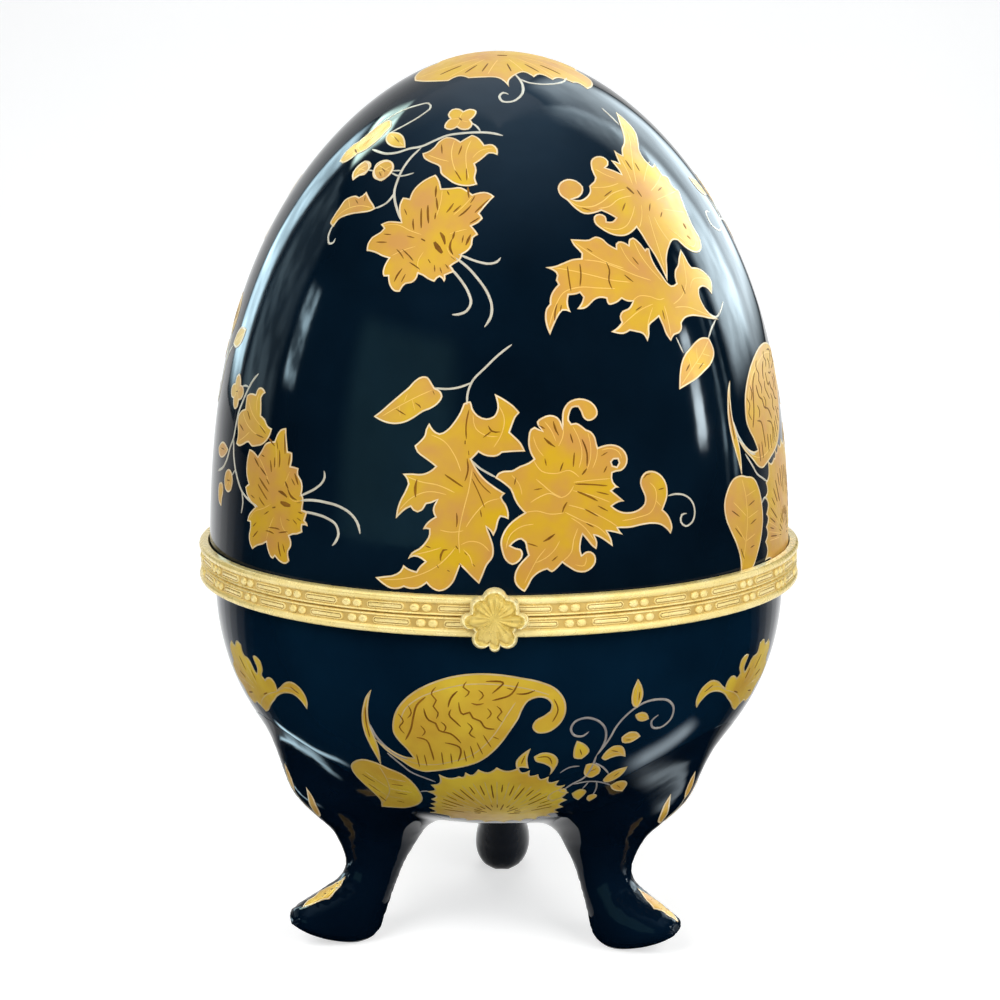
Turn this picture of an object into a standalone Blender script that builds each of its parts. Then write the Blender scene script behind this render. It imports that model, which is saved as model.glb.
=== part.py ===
# Egg trinket box: a glazed porcelain egg on three cabriole feet that opens at a brass rim.
# Metres, +Z up. The egg stands on z = 0 with its axis on Z, its clasp at -Y and its hinge at +Y.

import math

import bmesh
import bpy
from mathutils import Matrix, Vector

# Clearances
FIT_GAP = 0.0003  # between pieces that are cemented, soldered or rest on each other
RUNNING_GAP = 0.0001  # between the hinge pin and the knuckles, on the radius

# Porcelain lid
LID_RADIUS = 0.0550  # outer radius at the rim
LID_HEIGHT = 0.0907  # from the top of the rim to the tip
LID_WALL = 0.0032
LID_SWELL = (-0.0405, 0.271, -0.272)  # how the egg curve departs from an ellipse

# Porcelain bowl
BOWL_RADIUS = 0.0541  # outer radius at the rim
BOWL_DEPTH = 0.0472  # from the bottom of the rim to the underside
BOWL_WALL = 0.0034
BOWL_FLOOR = 0.0045
BOWL_SIDE_POWER = 2.14  # above 2 the side stands fuller than an ellipse
BOWL_BASE_POWER = 2.22  # above 2 the underside is flatter than an ellipse
BOWL_CLEARANCE = 0.0223  # underside of the bowl above the table

# Brass rims, one on each half
RIM_PROUD = 0.0020  # rolled edge outside the wider of the two porcelain edges
RIM_HEIGHT = 0.0035  # from the seam to the rolled edge
RIM_SHEET = 0.0006
ROLL_HEIGHT = 0.0014
BAND_DEPTH = 0.00055  # how far the patterned band lies behind the rolled edge
SEAM_BEAD_HEIGHT = 0.0004
SEAM_BEAD_PROUD = 0.0003
SEAM_BEAD_FACE = 0.00028  # height of the bead's flat face
LIP_HEIGHT = 0.0024  # inner lip that locates the porcelain

# Cabriole feet
FOOT_COUNT = 3
FOOT_TURN = math.radians(-3.3)  # the casting sits in its rim a little off the clasp's line
KNEE_RISE = 0.0195  # where the knee leaves the bowl, above the bowl's underside
HEEL_RADIUS = 0.0280  # egg's axis to the middle of the heel
HEEL_LEAN = -0.0016  # the shins lean this far to one side of the knees, as they were fired

# Hinge
KNUCKLE_RADIUS = 0.0018
PIN_RADIUS = 0.0009
PIN_HEAD_RADIUS = 0.0015
PIN_HEAD_LENGTH = 0.0008
LID_KNUCKLE_LENGTH = 0.0052
BASE_KNUCKLE_LENGTH = 0.0038
LEAF_WIDTH = 0.0180
LEAF_HEIGHT = 0.0029
LEAF_THICKNESS = 0.0006
LEAF_CORNER = 0.0015
LEAF_TO_KNUCKLE = 0.0004  # running gap between a leaf and the other leaf's knuckles
WEB_NEAR = 0.0006  # the web from leaf to knuckle, measured from the seam
WEB_FAR = 0.0016

# Clasp
CLASP_RISE = 0.0004  # middle of the ornament above the seam
ORNAMENT_STANDOFF = 0.0009  # back of the ornament off the rims
ORNAMENT_POCKET = 0.0009  # depth of the hollow behind the ornament
ORNAMENT_EDGE_RISE = 0.0014  # the stamped edge
ORNAMENT_CROWN = 0.0010  # the rest of the way up to the middle
ORNAMENT_FLUTE = 0.00022
ORNAMENT_BODY = 0.0036
ORNAMENT_WALL = 0.0009  # the stamped edge's width, outside the hollow
ORNAMENT_DRAFT = 0.00009  # how much narrower the hollow is at its floor
ORNAMENT_RING_SHARES = (0.24, 0.48, 0.70, 0.88, 0.97)  # of the reach, from the middle out
TONGUE_WIDTH = 0.0040
TONGUE_THICKNESS = 0.00045
TONGUE_TOP = 0.0030  # above the seam
TONGUE_BOTTOM = 0.0029  # below the seam
TONGUE_JOGGLE_TOP = 0.0012  # above the seam, where the strip steps out over the lower rim
TONGUE_JOGGLE_BOTTOM = 0.0003
CATCH_RADIUS = 0.0006
CATCH_WINDOW = 0.0009  # radius of the tongue's window that the catch clicks into

# How finely the round pieces are divided
SIDES = 60
LID_STEPS = 15
LID_INNER_STEPS = 9
BOWL_STEPS = 11
BOWL_INNER_STEPS = 8
ROLL_ARC_DEGREES = (90, 52, 15, -22, -60)
LEAF_COLUMNS = 14
KNUCKLE_SIDES = 20
CATCH_SIDES = 16
CATCH_STEPS = 4
FOOT_SIDES = 18
FOOT_STEPS = 2  # rings between two named stations of a foot
ORNAMENT_SIDES = 60

# Places worked out from the sizes
RIM_RADIUS = max(LID_RADIUS, BOWL_RADIUS) + RIM_PROUD
BOWL_TOP = BOWL_CLEARANCE + BOWL_DEPTH
SEAM = BOWL_TOP + RIM_HEIGHT
LID_BOTTOM = SEAM + RIM_HEIGHT
PORCELAIN_EDGE = FIT_GAP / 2 + RIM_SHEET + FIT_GAP  # porcelain's edge to the seam
BAND_RADIUS = RIM_RADIUS - BAND_DEPTH
BAND_INSIDE = BAND_RADIUS - RIM_SHEET
HINGE_Y = RIM_RADIUS + FIT_GAP + LEAF_THICKNESS + LEAF_TO_KNUCKLE + KNUCKLE_RADIUS
TONGUE_BACK = RIM_RADIUS + FIT_GAP
CATCH_BASE = BAND_RADIUS + FIT_GAP
TONGUE_LOW_BACK = CATCH_BASE + CATCH_RADIUS + FIT_GAP
CATCH_Z = SEAM - (FIT_GAP / 2 + SEAM_BEAD_HEIGHT + RIM_HEIGHT - ROLL_HEIGHT) / 2  # middle of the band

# Stations of a foot, from the shoulder inside the bowl to the tip of the toe. Each is the point on the
# front and on the back of the foot, and the half-width there. The first five are measured from
# where the knee leaves the bowl, the others from the middle of the heel on the table.
SHOULDER_STATIONS = (
    ((-0.0010, 0.0050), (-0.0370, -0.0090), 0.0195),
    ((-0.0005, 0.0000), (-0.0342, -0.0152), 0.0192),
    ((-0.0020, -0.0060), (-0.0318, -0.0182), 0.0150),
    ((-0.0042, -0.0118), (-0.0300, -0.0203), 0.0108),
    ((-0.0087, -0.0168), (-0.0290, -0.0220), 0.0080),
)
SHIN_STATIONS = (
    ((0.0056, 0.0216), (-0.0105, 0.0180), 0.0062),
    ((0.0034, 0.0174), (-0.0088, 0.0150), 0.0048),
    ((0.0028, 0.0142), (-0.0075, 0.0121), 0.0043),
    ((0.0040, 0.0120), (-0.0062, 0.0090), 0.0046),
    ((0.0071, 0.0102), (-0.0048, 0.0052), 0.0053),
    ((0.0098, 0.0090), (-0.0032, 0.0012), 0.0056),
    ((0.0116, 0.0082), (0.0007, -0.0006), 0.0053),
    ((0.0128, 0.0075), (0.0062, 0.0005), 0.0046),
    ((0.0135, 0.0069), (0.0104, 0.0022), 0.0037),
    ((0.0138, 0.0061), (0.0127, 0.0036), 0.0022),
)
TOE_TIP = (0.0139, 0.0047)
SHOULDER_ROUND = 1.8  # below 2 the shoulder comes to a soft ridge
SHIN_ROUND = 2.1

# Lobes of the ornament's outline: angle in degrees, distance from the middle, radius
ORNAMENT_LOBES = (
    (90, 0.0029, 0.0022),
    (38, 0.0031, 0.0017),
    (142, 0.0031, 0.0017),
    (-8, 0.0045, 0.00135),
    (188, 0.0045, 0.00135),
    (-60, 0.0044, 0.00165),
    (240, 0.0044, 0.00165),
    (270, 0.0051, 0.00095),
)

PORCELAIN_BLUE = (0.004, 0.011, 0.030)
PORCELAIN_BLUE_LID = (0.0045, 0.011, 0.028)
RIM_GOLD = (0.80, 0.58, 0.20)
ORNAMENT_GOLD = (0.84, 0.65, 0.26)
SPRING_BRASS = (0.70, 0.50, 0.20)
PIN_BRASS = (0.62, 0.45, 0.20)


def clear_scene():
    for old in list(bpy.data.objects):
        bpy.data.objects.remove(old, do_unlink=True)


def material(name, colour, roughness, metallic):
    made = bpy.data.materials.new(name)
    made.use_nodes = True
    shader = made.node_tree.nodes["Principled BSDF"]
    shader.inputs["Base Color"].default_value = (*colour, 1)
    shader.inputs["Roughness"].default_value = roughness
    shader.inputs["Metallic"].default_value = metallic
    return made


def object_from(name, bm, finish=None):
    """Puts a bmesh into the scene as a smooth-shaded object."""
    bmesh.ops.recalc_face_normals(bm, faces=bm.faces)
    mesh = bpy.data.meshes.new(name)
    bm.to_mesh(mesh)
    bm.free()
    mesh.shade_smooth()
    mesh.set_sharp_from_angle(angle=math.radians(35))
    made = bpy.data.objects.new(name, mesh)
    bpy.context.scene.collection.objects.link(made)
    if finish is not None:
        mesh.materials.append(finish)
    return made


def helper(made):
    made.hide_render = True
    made.display_type = "WIRE"
    return made


def boolean(target, operation, tool):
    step = target.modifiers.new(f"{operation.lower()}_{tool.name}", "BOOLEAN")
    step.operation = operation
    step.solver = "EXACT"
    step.object = helper(tool)


def hang(made, axis):
    """Gives a piece an empty on its joint's axis as its parent, with the piece left where it is."""
    made.data.transform(Matrix.Translation(-axis.matrix_world.translation))
    made.parent = axis


def axis_empty(name, y, z, parent=None):
    made = bpy.data.objects.new(name, None)
    made.empty_display_size = 0.01
    bpy.context.scene.collection.objects.link(made)
    made.location = (0, y, z)
    if parent is not None:
        made.parent = parent
        made.location = made.location - parent.location
    bpy.context.view_layer.update()
    return made


def turned(name, profile, finish=None, closed=True):
    """Turns a profile of (radius, height) points round Z. An open profile starts and ends on the axis."""
    bm = bmesh.new()
    points = [bm.verts.new((r, 0, z)) for r, z in profile]
    pairs = list(zip(points, points[1:]))
    if closed:
        pairs.append((points[-1], points[0]))
    edges = [bm.edges.new(pair) for pair in pairs]
    bmesh.ops.spin(
        bm,
        geom=points + edges,
        cent=(0, 0, 0),
        axis=(0, 0, 1),
        angle=2 * math.pi,
        steps=SIDES,
        use_merge=True,
    )
    bmesh.ops.remove_doubles(bm, verts=bm.verts, dist=1e-6)
    return object_from(name, bm, finish)


def rod(name, radius, x_low, x_high, y, z, sides=KNUCKLE_SIDES, finish=None):
    """A round bar along X."""
    bm = bmesh.new()
    bmesh.ops.create_cone(
        bm,
        cap_ends=True,
        segments=sides,
        radius1=radius,
        radius2=radius,
        depth=x_high - x_low,
        matrix=Matrix.Translation(((x_low + x_high) / 2, y, z))
        @ Matrix.Rotation(math.pi / 2, 4, "Y"),
    )
    return object_from(name, bm, finish)


def block(name, low, high):
    bm = bmesh.new()
    middle = (Vector(low) + Vector(high)) / 2
    size = Vector(high) - Vector(low)
    bmesh.ops.create_cube(
        bm, size=1, matrix=Matrix.Translation(middle) @ Matrix.Diagonal((*size, 1))
    )
    return object_from(name, bm)


def lid_curve(radius, height, steps):
    """The egg curve from the rim up to the tip on the axis, as (radius, height above the rim)."""
    a, b, c = LID_SWELL
    curve = []
    for i in range(steps):
        angle = math.pi / 2 * i / steps
        u = math.sin(angle)
        swell = 1 + a * u + b * u**2 + c * u**3
        curve.append((radius * math.cos(angle) * swell, height * u))
    curve.append((0, height))
    return curve


def make_lid_shell(finish):
    """A porcelain egg top, open below, whose edge sits in the lid's rim."""
    edge = SEAM + PORCELAIN_EDGE
    outside = [(r, LID_BOTTOM + z) for r, z in lid_curve(LID_RADIUS, LID_HEIGHT, LID_STEPS)]
    inner_radius = LID_RADIUS - LID_WALL
    inner_height = LID_HEIGHT - LID_WALL
    inside = [(r, LID_BOTTOM + z) for r, z in lid_curve(inner_radius, inner_height, LID_INNER_STEPS)]
    profile = outside[::-1] + [(LID_RADIUS, edge), (inner_radius, edge)] + inside
    return turned("lid_shell", profile, finish, closed=False)


def bowl_curve(radius, depth, steps):
    """The bowl's curve from the rim down to the axis, as (radius, depth below the rim)."""
    curve = []
    for i in range(steps):
        angle = math.pi / 2 * i / steps
        across = math.cos(angle) ** (2 / BOWL_SIDE_POWER)
        down = math.sin(angle) ** (2 / BOWL_BASE_POWER)
        curve.append((radius * across, depth * down))
    curve.append((0, depth))
    return curve


def bowl_radius_at(height):
    """Outer radius of the bowl at a height above its underside."""
    down = (BOWL_DEPTH - height) / BOWL_DEPTH
    return BOWL_RADIUS * (1 - down**BOWL_BASE_POWER) ** (1 / BOWL_SIDE_POWER)


def smooth_between(values, t):
    """A smooth curve through the values, read at t, which counts stations from 0."""
    i = min(int(t), len(values) - 2)
    f = t - i
    before = values[max(i - 1, 0)]
    start = values[i]
    end = values[i + 1]
    after = values[min(i + 2, len(values) - 1)]
    return 0.5 * (
        2 * start
        + (end - before) * f
        + (2 * before - 5 * start + 4 * end - after) * f**2
        + (3 * start - before - 3 * end + after) * f**3
    )


def make_foot(name, angle):
    """A cabriole foot: a broad shoulder under the bowl, a slim ankle and a toe that points out."""
    knee = Vector((bowl_radius_at(KNEE_RISE), BOWL_CLEARANCE + KNEE_RISE))
    heel = Vector((HEEL_RADIUS, 0))
    placed = [(knee, *station) for station in SHOULDER_STATIONS]
    placed += [(heel, *station) for station in SHIN_STATIONS]
    fronts = [anchor + Vector(front) for anchor, front, _, _ in placed]
    backs = [anchor + Vector(back) for anchor, _, back, _ in placed]
    widths = [width for _, _, _, width in placed]
    outward = Vector((math.cos(angle), math.sin(angle), 0))
    across = Vector((-math.sin(angle), math.cos(angle), 0))

    bm = bmesh.new()
    rings = []
    last = len(placed) - 1
    for step in range(last * FOOT_STEPS + 1):
        t = step / FOOT_STEPS
        front = smooth_between(fronts, t)
        back = smooth_between(backs, t)
        width = smooth_between(widths, t)
        power = SHOULDER_ROUND + (SHIN_ROUND - SHOULDER_ROUND) * min(t / len(SHOULDER_STATIONS), 1)
        middle = (front + back) / 2
        reach = (front - back) / 2
        lean = Vector((HEEL_LEAN * max(1 - middle.y / knee.y, 0), 0, 0))
        ring = []
        for k in range(FOOT_SIDES):
            turn = 2 * math.pi * k / FOOT_SIDES
            along = math.copysign(abs(math.cos(turn)) ** (2 / power), math.cos(turn))
            aside = math.copysign(abs(math.sin(turn)) ** (2 / power), math.sin(turn))
            point = middle + reach * along
            spot = outward * point.x + across * width * aside + Vector((0, 0, point.y))
            ring.append(bm.verts.new(spot + lean))
        rings.append(ring)
    for upper, lower in zip(rings, rings[1:]):
        for k in range(FOOT_SIDES):
            n = (k + 1) % FOOT_SIDES
            bm.faces.new((upper[k], upper[n], lower[n], lower[k]))
    bm.faces.new(rings[0])
    tip = heel + Vector(TOE_TIP)
    tip_vert = bm.verts.new(outward * tip.x + Vector((HEEL_LEAN, 0, tip.y)))
    for k in range(FOOT_SIDES):
        bm.faces.new((rings[-1][k], rings[-1][(k + 1) % FOOT_SIDES], tip_vert))
    return object_from(name, bm)


def make_base_bowl(finish):
    """The bowl and its feet are one casting, hollowed from above and ground flat under the heels."""
    edge = SEAM - PORCELAIN_EDGE
    outside = [(r, BOWL_TOP - d) for r, d in bowl_curve(BOWL_RADIUS, BOWL_DEPTH, BOWL_STEPS)]
    solid = turned("base_bowl", [(0, edge), (BOWL_RADIUS, edge)] + outside, finish, closed=False)
    for n in range(FOOT_COUNT):
        angle = math.pi / 2 + FOOT_TURN + 2 * math.pi * n / FOOT_COUNT
        boolean(solid, "UNION", make_foot(f"foot_guide_{n + 1}", angle))

    inner_radius = BOWL_RADIUS - BOWL_WALL
    above = SEAM + RIM_HEIGHT
    inside = bowl_curve(inner_radius, BOWL_DEPTH - BOWL_FLOOR, BOWL_INNER_STEPS)
    hollow = [(0, above), (inner_radius, above)] + [(r, BOWL_TOP - d) for r, d in inside]
    boolean(solid, "DIFFERENCE", turned("bowl_cutter", hollow, closed=False))

    reach = HEEL_RADIUS + BOWL_RADIUS
    floor = block("sole_cutter", (-reach, -reach, -BOWL_CLEARANCE), (reach, reach, 0))
    boolean(solid, "DIFFERENCE", floor)
    return solid


def rim_profile(porcelain_radius, porcelain_wall):
    """A stamped channel round the porcelain's edge, as (radius, distance from the seam)."""
    face = FIT_GAP / 2
    top = RIM_HEIGHT
    touch = porcelain_radius + FIT_GAP
    lip_outside = porcelain_radius - porcelain_wall - FIT_GAP
    lip_inside = lip_outside - RIM_SHEET
    roll = ROLL_HEIGHT / 2
    arc = []
    for degrees in ROLL_ARC_DEGREES:
        a = math.radians(degrees)
        arc.append((RIM_RADIUS - roll + roll * math.cos(a), top - roll + roll * math.sin(a)))
    bead = BAND_RADIUS + SEAM_BEAD_PROUD
    return [
        (touch, top),
        *arc,
        (BAND_RADIUS, top - ROLL_HEIGHT),
        (BAND_RADIUS, face + SEAM_BEAD_HEIGHT),
        (bead, face + SEAM_BEAD_FACE),
        (bead, face),
        (lip_inside, face),
        (lip_inside, face + RIM_SHEET + LIP_HEIGHT),
        (lip_outside, face + RIM_SHEET + LIP_HEIGHT),
        (lip_outside, face + RIM_SHEET),
        (BAND_INSIDE, face + RIM_SHEET),
        (BAND_INSIDE, top - RIM_SHEET),
        (touch, top - RIM_SHEET),
    ]


def make_rim(name, porcelain_radius, porcelain_wall, side, finish):
    """side is 1 for the lid's rim, above the seam, and -1 for the bowl's, below it."""
    profile = [(r, SEAM + side * s) for r, s in rim_profile(porcelain_radius, porcelain_wall)]
    return turned(name, profile, finish)


def leaf_plate(name, side):
    """A hinge leaf, bent to the rim's face, with its two far corners rounded."""
    inside = RIM_RADIUS + FIT_GAP
    outside = inside + LEAF_THICKNESS
    half = LEAF_WIDTH / 2
    near = FIT_GAP / 2
    bm = bmesh.new()
    rows = []
    for i in range(LEAF_COLUMNS + 1):
        x = -half + LEAF_WIDTH * i / LEAF_COLUMNS
        past = max(abs(x) - (half - LEAF_CORNER), 0)
        far = near + LEAF_HEIGHT - LEAF_CORNER + math.sqrt(LEAF_CORNER**2 - past**2)
        angle = x / inside
        corners = []
        for radius, z in ((inside, near), (outside, near), (outside, far), (inside, far)):
            spot = (radius * math.sin(angle), radius * math.cos(angle), SEAM + side * z)
            corners.append(bm.verts.new(spot))
        rows.append(corners)
    for left, right in zip(rows, rows[1:]):
        for k in range(4):
            n = (k + 1) % 4
            bm.faces.new((left[k], left[n], right[n], right[k]))
    bm.faces.new(rows[0])
    bm.faces.new(rows[-1][::-1])
    return bm


def make_leaf(name, side, spans, finish):
    """A leaf with its knuckles: one in the middle for the lid, one at each end for the bowl."""
    leaf = object_from(name, leaf_plate(name, side), finish)
    web_back = RIM_RADIUS + FIT_GAP + LEAF_THICKNESS / 2
    for n, (low, high) in enumerate(spans, 1):
        z_pair = sorted((SEAM + side * WEB_NEAR, SEAM + side * WEB_FAR))
        web = block(f"{name}_web_{n}", (low, web_back, z_pair[0]), (high, HINGE_Y, z_pair[1]))
        boolean(leaf, "UNION", web)
        boolean(leaf, "UNION", rod(f"{name}_barrel_{n}", KNUCKLE_RADIUS, low, high, HINGE_Y, SEAM))
    bore = rod(
        f"{name}_bore", PIN_RADIUS + RUNNING_GAP, -LEAF_WIDTH, LEAF_WIDTH, HINGE_Y, SEAM
    )
    boolean(leaf, "DIFFERENCE", bore)
    return leaf


def knuckle_spans():
    """The spans along X of the lid's knuckle and of the bowl's two."""
    half = LID_KNUCKLE_LENGTH / 2
    start = half + FIT_GAP
    end = start + BASE_KNUCKLE_LENGTH
    return [(-half, half)], [(-end, -start), (start, end)]


def make_hinge_pin(finish):
    """A pin through all three knuckles with a rounded head at each end."""
    end = knuckle_spans()[1][1][1] + FIT_GAP
    tip = end + PIN_HEAD_LENGTH
    chamfer = PIN_HEAD_LENGTH / 2
    half = [(0, tip), (PIN_HEAD_RADIUS - chamfer, tip), (PIN_HEAD_RADIUS, tip - chamfer)]
    half += [(PIN_HEAD_RADIUS, end), (PIN_RADIUS, end)]
    profile = half + [(r, -x) for r, x in reversed(half)]
    bm = bmesh.new()
    points = [bm.verts.new((x, HINGE_Y + r, SEAM)) for r, x in profile]
    edges = [bm.edges.new(pair) for pair in zip(points, points[1:])]
    bmesh.ops.spin(
        bm,
        geom=points + edges,
        cent=(0, HINGE_Y, SEAM),
        axis=(1, 0, 0),
        angle=2 * math.pi,
        steps=KNUCKLE_SIDES,
        use_merge=True,
    )
    bmesh.ops.remove_doubles(bm, verts=bm.verts, dist=1e-6)
    return object_from("hinge_pin", bm, finish)


def make_clasp_tongue(finish):
    """A spring strip, soldered to the lid's rim, that steps out over the bowl's rim and its catch."""
    upper = TONGUE_BACK
    lower = TONGUE_LOW_BACK
    back = [
        (upper, TONGUE_TOP),
        (upper, TONGUE_JOGGLE_TOP),
        (lower, TONGUE_JOGGLE_BOTTOM),
        (lower, -TONGUE_BOTTOM),
    ]
    front = [(y + TONGUE_THICKNESS, z) for y, z in reversed(back)]
    bm = bmesh.new()
    half = TONGUE_WIDTH / 2
    sides = []
    for x in (-half, half):
        sides.append([bm.verts.new((x, -y, SEAM + z)) for y, z in back + front])
    count = len(sides[0])
    for k in range(count):
        n = (k + 1) % count
        bm.faces.new((sides[0][k], sides[0][n], sides[1][n], sides[1][k]))
    bm.faces.new(sides[0])
    bm.faces.new(sides[1][::-1])
    tongue = object_from("clasp_tongue", bm, finish)
    bm = bmesh.new()
    bmesh.ops.create_cone(
        bm,
        cap_ends=True,
        segments=CATCH_SIDES,
        radius1=CATCH_WINDOW,
        radius2=CATCH_WINDOW,
        depth=4 * TONGUE_THICKNESS,
        matrix=Matrix.Translation((0, -lower, CATCH_Z)) @ Matrix.Rotation(math.pi / 2, 4, "X"),
    )
    boolean(tongue, "DIFFERENCE", object_from("catch_window_cutter", bm))
    return tongue


def ornament_reach(angle):
    """How far the ornament's lobed outline reaches from its middle at an angle."""
    reach = ORNAMENT_BODY
    for degrees, distance, radius in ORNAMENT_LOBES:
        off = angle - math.radians(degrees)
        sideways = distance * math.sin(off)
        if math.cos(off) > 0 and abs(sideways) < radius:
            reach = max(reach, distance * math.cos(off) + math.sqrt(radius**2 - sideways**2))
    return reach


def flute(angle):
    """1 on the ridge of each lobe and -1 in the valley between two."""
    ridges = sorted(math.radians(degrees) % (2 * math.pi) for degrees, _, _ in ORNAMENT_LOBES)
    angle = angle % (2 * math.pi)
    below = max([r for r in ridges if r <= angle], default=ridges[-1] - 2 * math.pi)
    above = min([r for r in ridges if r > angle], default=ridges[0] + 2 * math.pi)
    return math.cos(2 * math.pi * (angle - below) / (above - below))


def make_clasp_ornament(finish):
    """A stamped, lobed shell with radial flutes, hollow behind where the tongue and the catch lie."""
    back = RIM_RADIUS + ORNAMENT_STANDOFF
    middle_z = SEAM + CLASP_RISE
    bm = bmesh.new()

    def ring(share, height_of, inset=0):
        made = []
        for k in range(ORNAMENT_SIDES):
            angle = 2 * math.pi * k / ORNAMENT_SIDES
            reach = ornament_reach(angle) * share - inset
            x = reach * math.cos(angle)
            z = middle_z + reach * math.sin(angle)
            made.append(bm.verts.new((x, -back - height_of(share, angle), z)))
        return made

    def crown(share, angle):
        edge = ORNAMENT_EDGE_RISE * math.sqrt(max(1 - share**6, 0))
        middle = ORNAMENT_CROWN * (1 - share**2)
        return edge + middle + ORNAMENT_FLUTE * flute(angle) * math.sin(math.pi * share**1.5)

    fronts = [ring(share, crown) for share in ORNAMENT_RING_SHARES]
    edge = ring(1, lambda share, angle: 0)
    mouth = ring(1, lambda share, angle: 0, ORNAMENT_WALL)
    floor = ring(1, lambda share, angle: ORNAMENT_POCKET, ORNAMENT_WALL + ORNAMENT_DRAFT)
    loops = fronts + [edge, mouth, floor]
    for inner, outer in zip(loops, loops[1:]):
        for k in range(ORNAMENT_SIDES):
            n = (k + 1) % ORNAMENT_SIDES
            bm.faces.new((inner[k], inner[n], outer[n], outer[k]))
    top = bm.verts.new((0, -back - crown(0, 0), middle_z))
    bottom = bm.verts.new((0, -back - ORNAMENT_POCKET, middle_z))
    for k in range(ORNAMENT_SIDES):
        n = (k + 1) % ORNAMENT_SIDES
        bm.faces.new((top, loops[0][k], loops[0][n]))
        bm.faces.new((bottom, floor[n], floor[k]))
    return object_from("clasp_ornament", bm, finish)


def make_catch_bead(finish):
    """A half-round bead on the bowl's rim that the tongue's window clicks over."""
    bm = bmesh.new()
    sides = CATCH_SIDES
    rings = []
    for i in range(CATCH_STEPS):
        rise = math.pi / 2 * i / CATCH_STEPS
        radius = CATCH_RADIUS * math.cos(rise)
        y = -CATCH_BASE - CATCH_RADIUS * math.sin(rise)
        ring = []
        for k in range(sides):
            a = 2 * math.pi * k / sides
            ring.append(bm.verts.new((radius * math.cos(a), y, CATCH_Z + radius * math.sin(a))))
        rings.append(ring)
    tip = bm.verts.new((0, -CATCH_BASE - CATCH_RADIUS, CATCH_Z))
    for lower, upper in zip(rings, rings[1:]):
        for k in range(sides):
            n = (k + 1) % sides
            bm.faces.new((lower[k], lower[n], upper[n], upper[k]))
    bm.faces.new(rings[0])
    for k in range(sides):
        bm.faces.new((rings[-1][k], rings[-1][(k + 1) % sides], tip))
    return object_from("catch_bead", bm, finish)


def main():
    clear_scene()
    base_glaze = material("base_porcelain", PORCELAIN_BLUE, 0.08, 0.0)
    lid_glaze = material("lid_porcelain", PORCELAIN_BLUE_LID, 0.07, 0.0)
    lid_gold = material("lid_rim_brass", RIM_GOLD, 0.28, 1.0)
    base_gold = material("base_rim_brass", RIM_GOLD, 0.30, 1.0)
    lid_leaf_gold = material("lid_leaf_brass", RIM_GOLD, 0.34, 1.0)
    base_leaf_gold = material("base_leaf_brass", RIM_GOLD, 0.36, 1.0)
    pin_gold = material("pin_brass", PIN_BRASS, 0.30, 1.0)
    ornament_gold = material("ornament_brass", ORNAMENT_GOLD, 0.25, 1.0)
    spring_gold = material("tongue_brass", SPRING_BRASS, 0.40, 1.0)
    catch_gold = material("catch_brass", RIM_GOLD, 0.22, 1.0)

    make_base_bowl(base_glaze)
    make_rim("base_rim", BOWL_RADIUS, BOWL_WALL, -1, base_gold)
    lid_spans, base_spans = knuckle_spans()
    make_leaf("base_hinge_leaf", -1, base_spans, base_leaf_gold)
    make_hinge_pin(pin_gold)
    make_catch_bead(catch_gold)

    lid_axis = axis_empty("lid_axis", HINGE_Y, SEAM)
    clasp_axis = axis_empty("clasp_axis", -TONGUE_BACK, SEAM + TONGUE_TOP, lid_axis)
    hang(make_lid_shell(lid_glaze), lid_axis)
    hang(make_rim("lid_rim", LID_RADIUS, LID_WALL, 1, lid_gold), lid_axis)
    hang(make_leaf("lid_hinge_leaf", 1, lid_spans, lid_leaf_gold), lid_axis)
    hang(make_clasp_tongue(spring_gold), clasp_axis)
    hang(make_clasp_ornament(ornament_gold), clasp_axis)


main()
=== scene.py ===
# Looks of the egg trinket box: glaze, gilding, stamped brass, light and camera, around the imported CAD.
# Metres, +Z up. The egg's axis is Z, the clasp is at -Y and the hinge at +Y.

import math

import bmesh
import bpy
import numpy as np
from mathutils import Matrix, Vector
from mathutils.bvhtree import BVHTree
from mathutils.geometry import delaunay_2d_cdt


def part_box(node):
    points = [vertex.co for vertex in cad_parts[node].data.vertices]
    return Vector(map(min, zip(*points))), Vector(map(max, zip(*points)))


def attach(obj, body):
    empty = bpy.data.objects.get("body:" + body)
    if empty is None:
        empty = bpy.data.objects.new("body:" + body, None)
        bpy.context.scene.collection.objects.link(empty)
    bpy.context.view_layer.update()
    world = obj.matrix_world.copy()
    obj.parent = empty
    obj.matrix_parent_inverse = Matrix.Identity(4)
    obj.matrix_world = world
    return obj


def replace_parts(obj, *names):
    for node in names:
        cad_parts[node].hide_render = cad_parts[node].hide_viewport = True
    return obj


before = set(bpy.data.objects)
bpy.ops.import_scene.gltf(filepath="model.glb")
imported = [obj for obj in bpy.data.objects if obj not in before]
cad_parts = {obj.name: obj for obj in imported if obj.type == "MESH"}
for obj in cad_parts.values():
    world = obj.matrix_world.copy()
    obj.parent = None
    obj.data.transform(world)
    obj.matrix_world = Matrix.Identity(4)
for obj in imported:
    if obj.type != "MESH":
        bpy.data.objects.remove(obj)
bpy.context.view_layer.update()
MM = 0.001

# Sizes read from the frame
LID_LOW, LID_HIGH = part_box("lid_shell")
_, BOWL_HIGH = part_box("base_bowl")
LID_RIM_LOW, LID_RIM_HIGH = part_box("lid_rim")
BASE_RIM_LOW, BASE_RIM_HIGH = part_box("base_rim")
LID_RADIUS = LID_HIGH.x
BOWL_RADIUS = BOWL_HIGH.x
RIM_RADIUS = (LID_RIM_HIGH.y - LID_RIM_LOW.y) / 2
SEAM = (LID_RIM_LOW.z + BASE_RIM_HIGH.z) / 2
LID_BOTTOM = LID_RIM_HIGH.z
BOWL_TOP = BASE_RIM_LOW.z
LID_TIP = LID_HIGH.z

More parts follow.
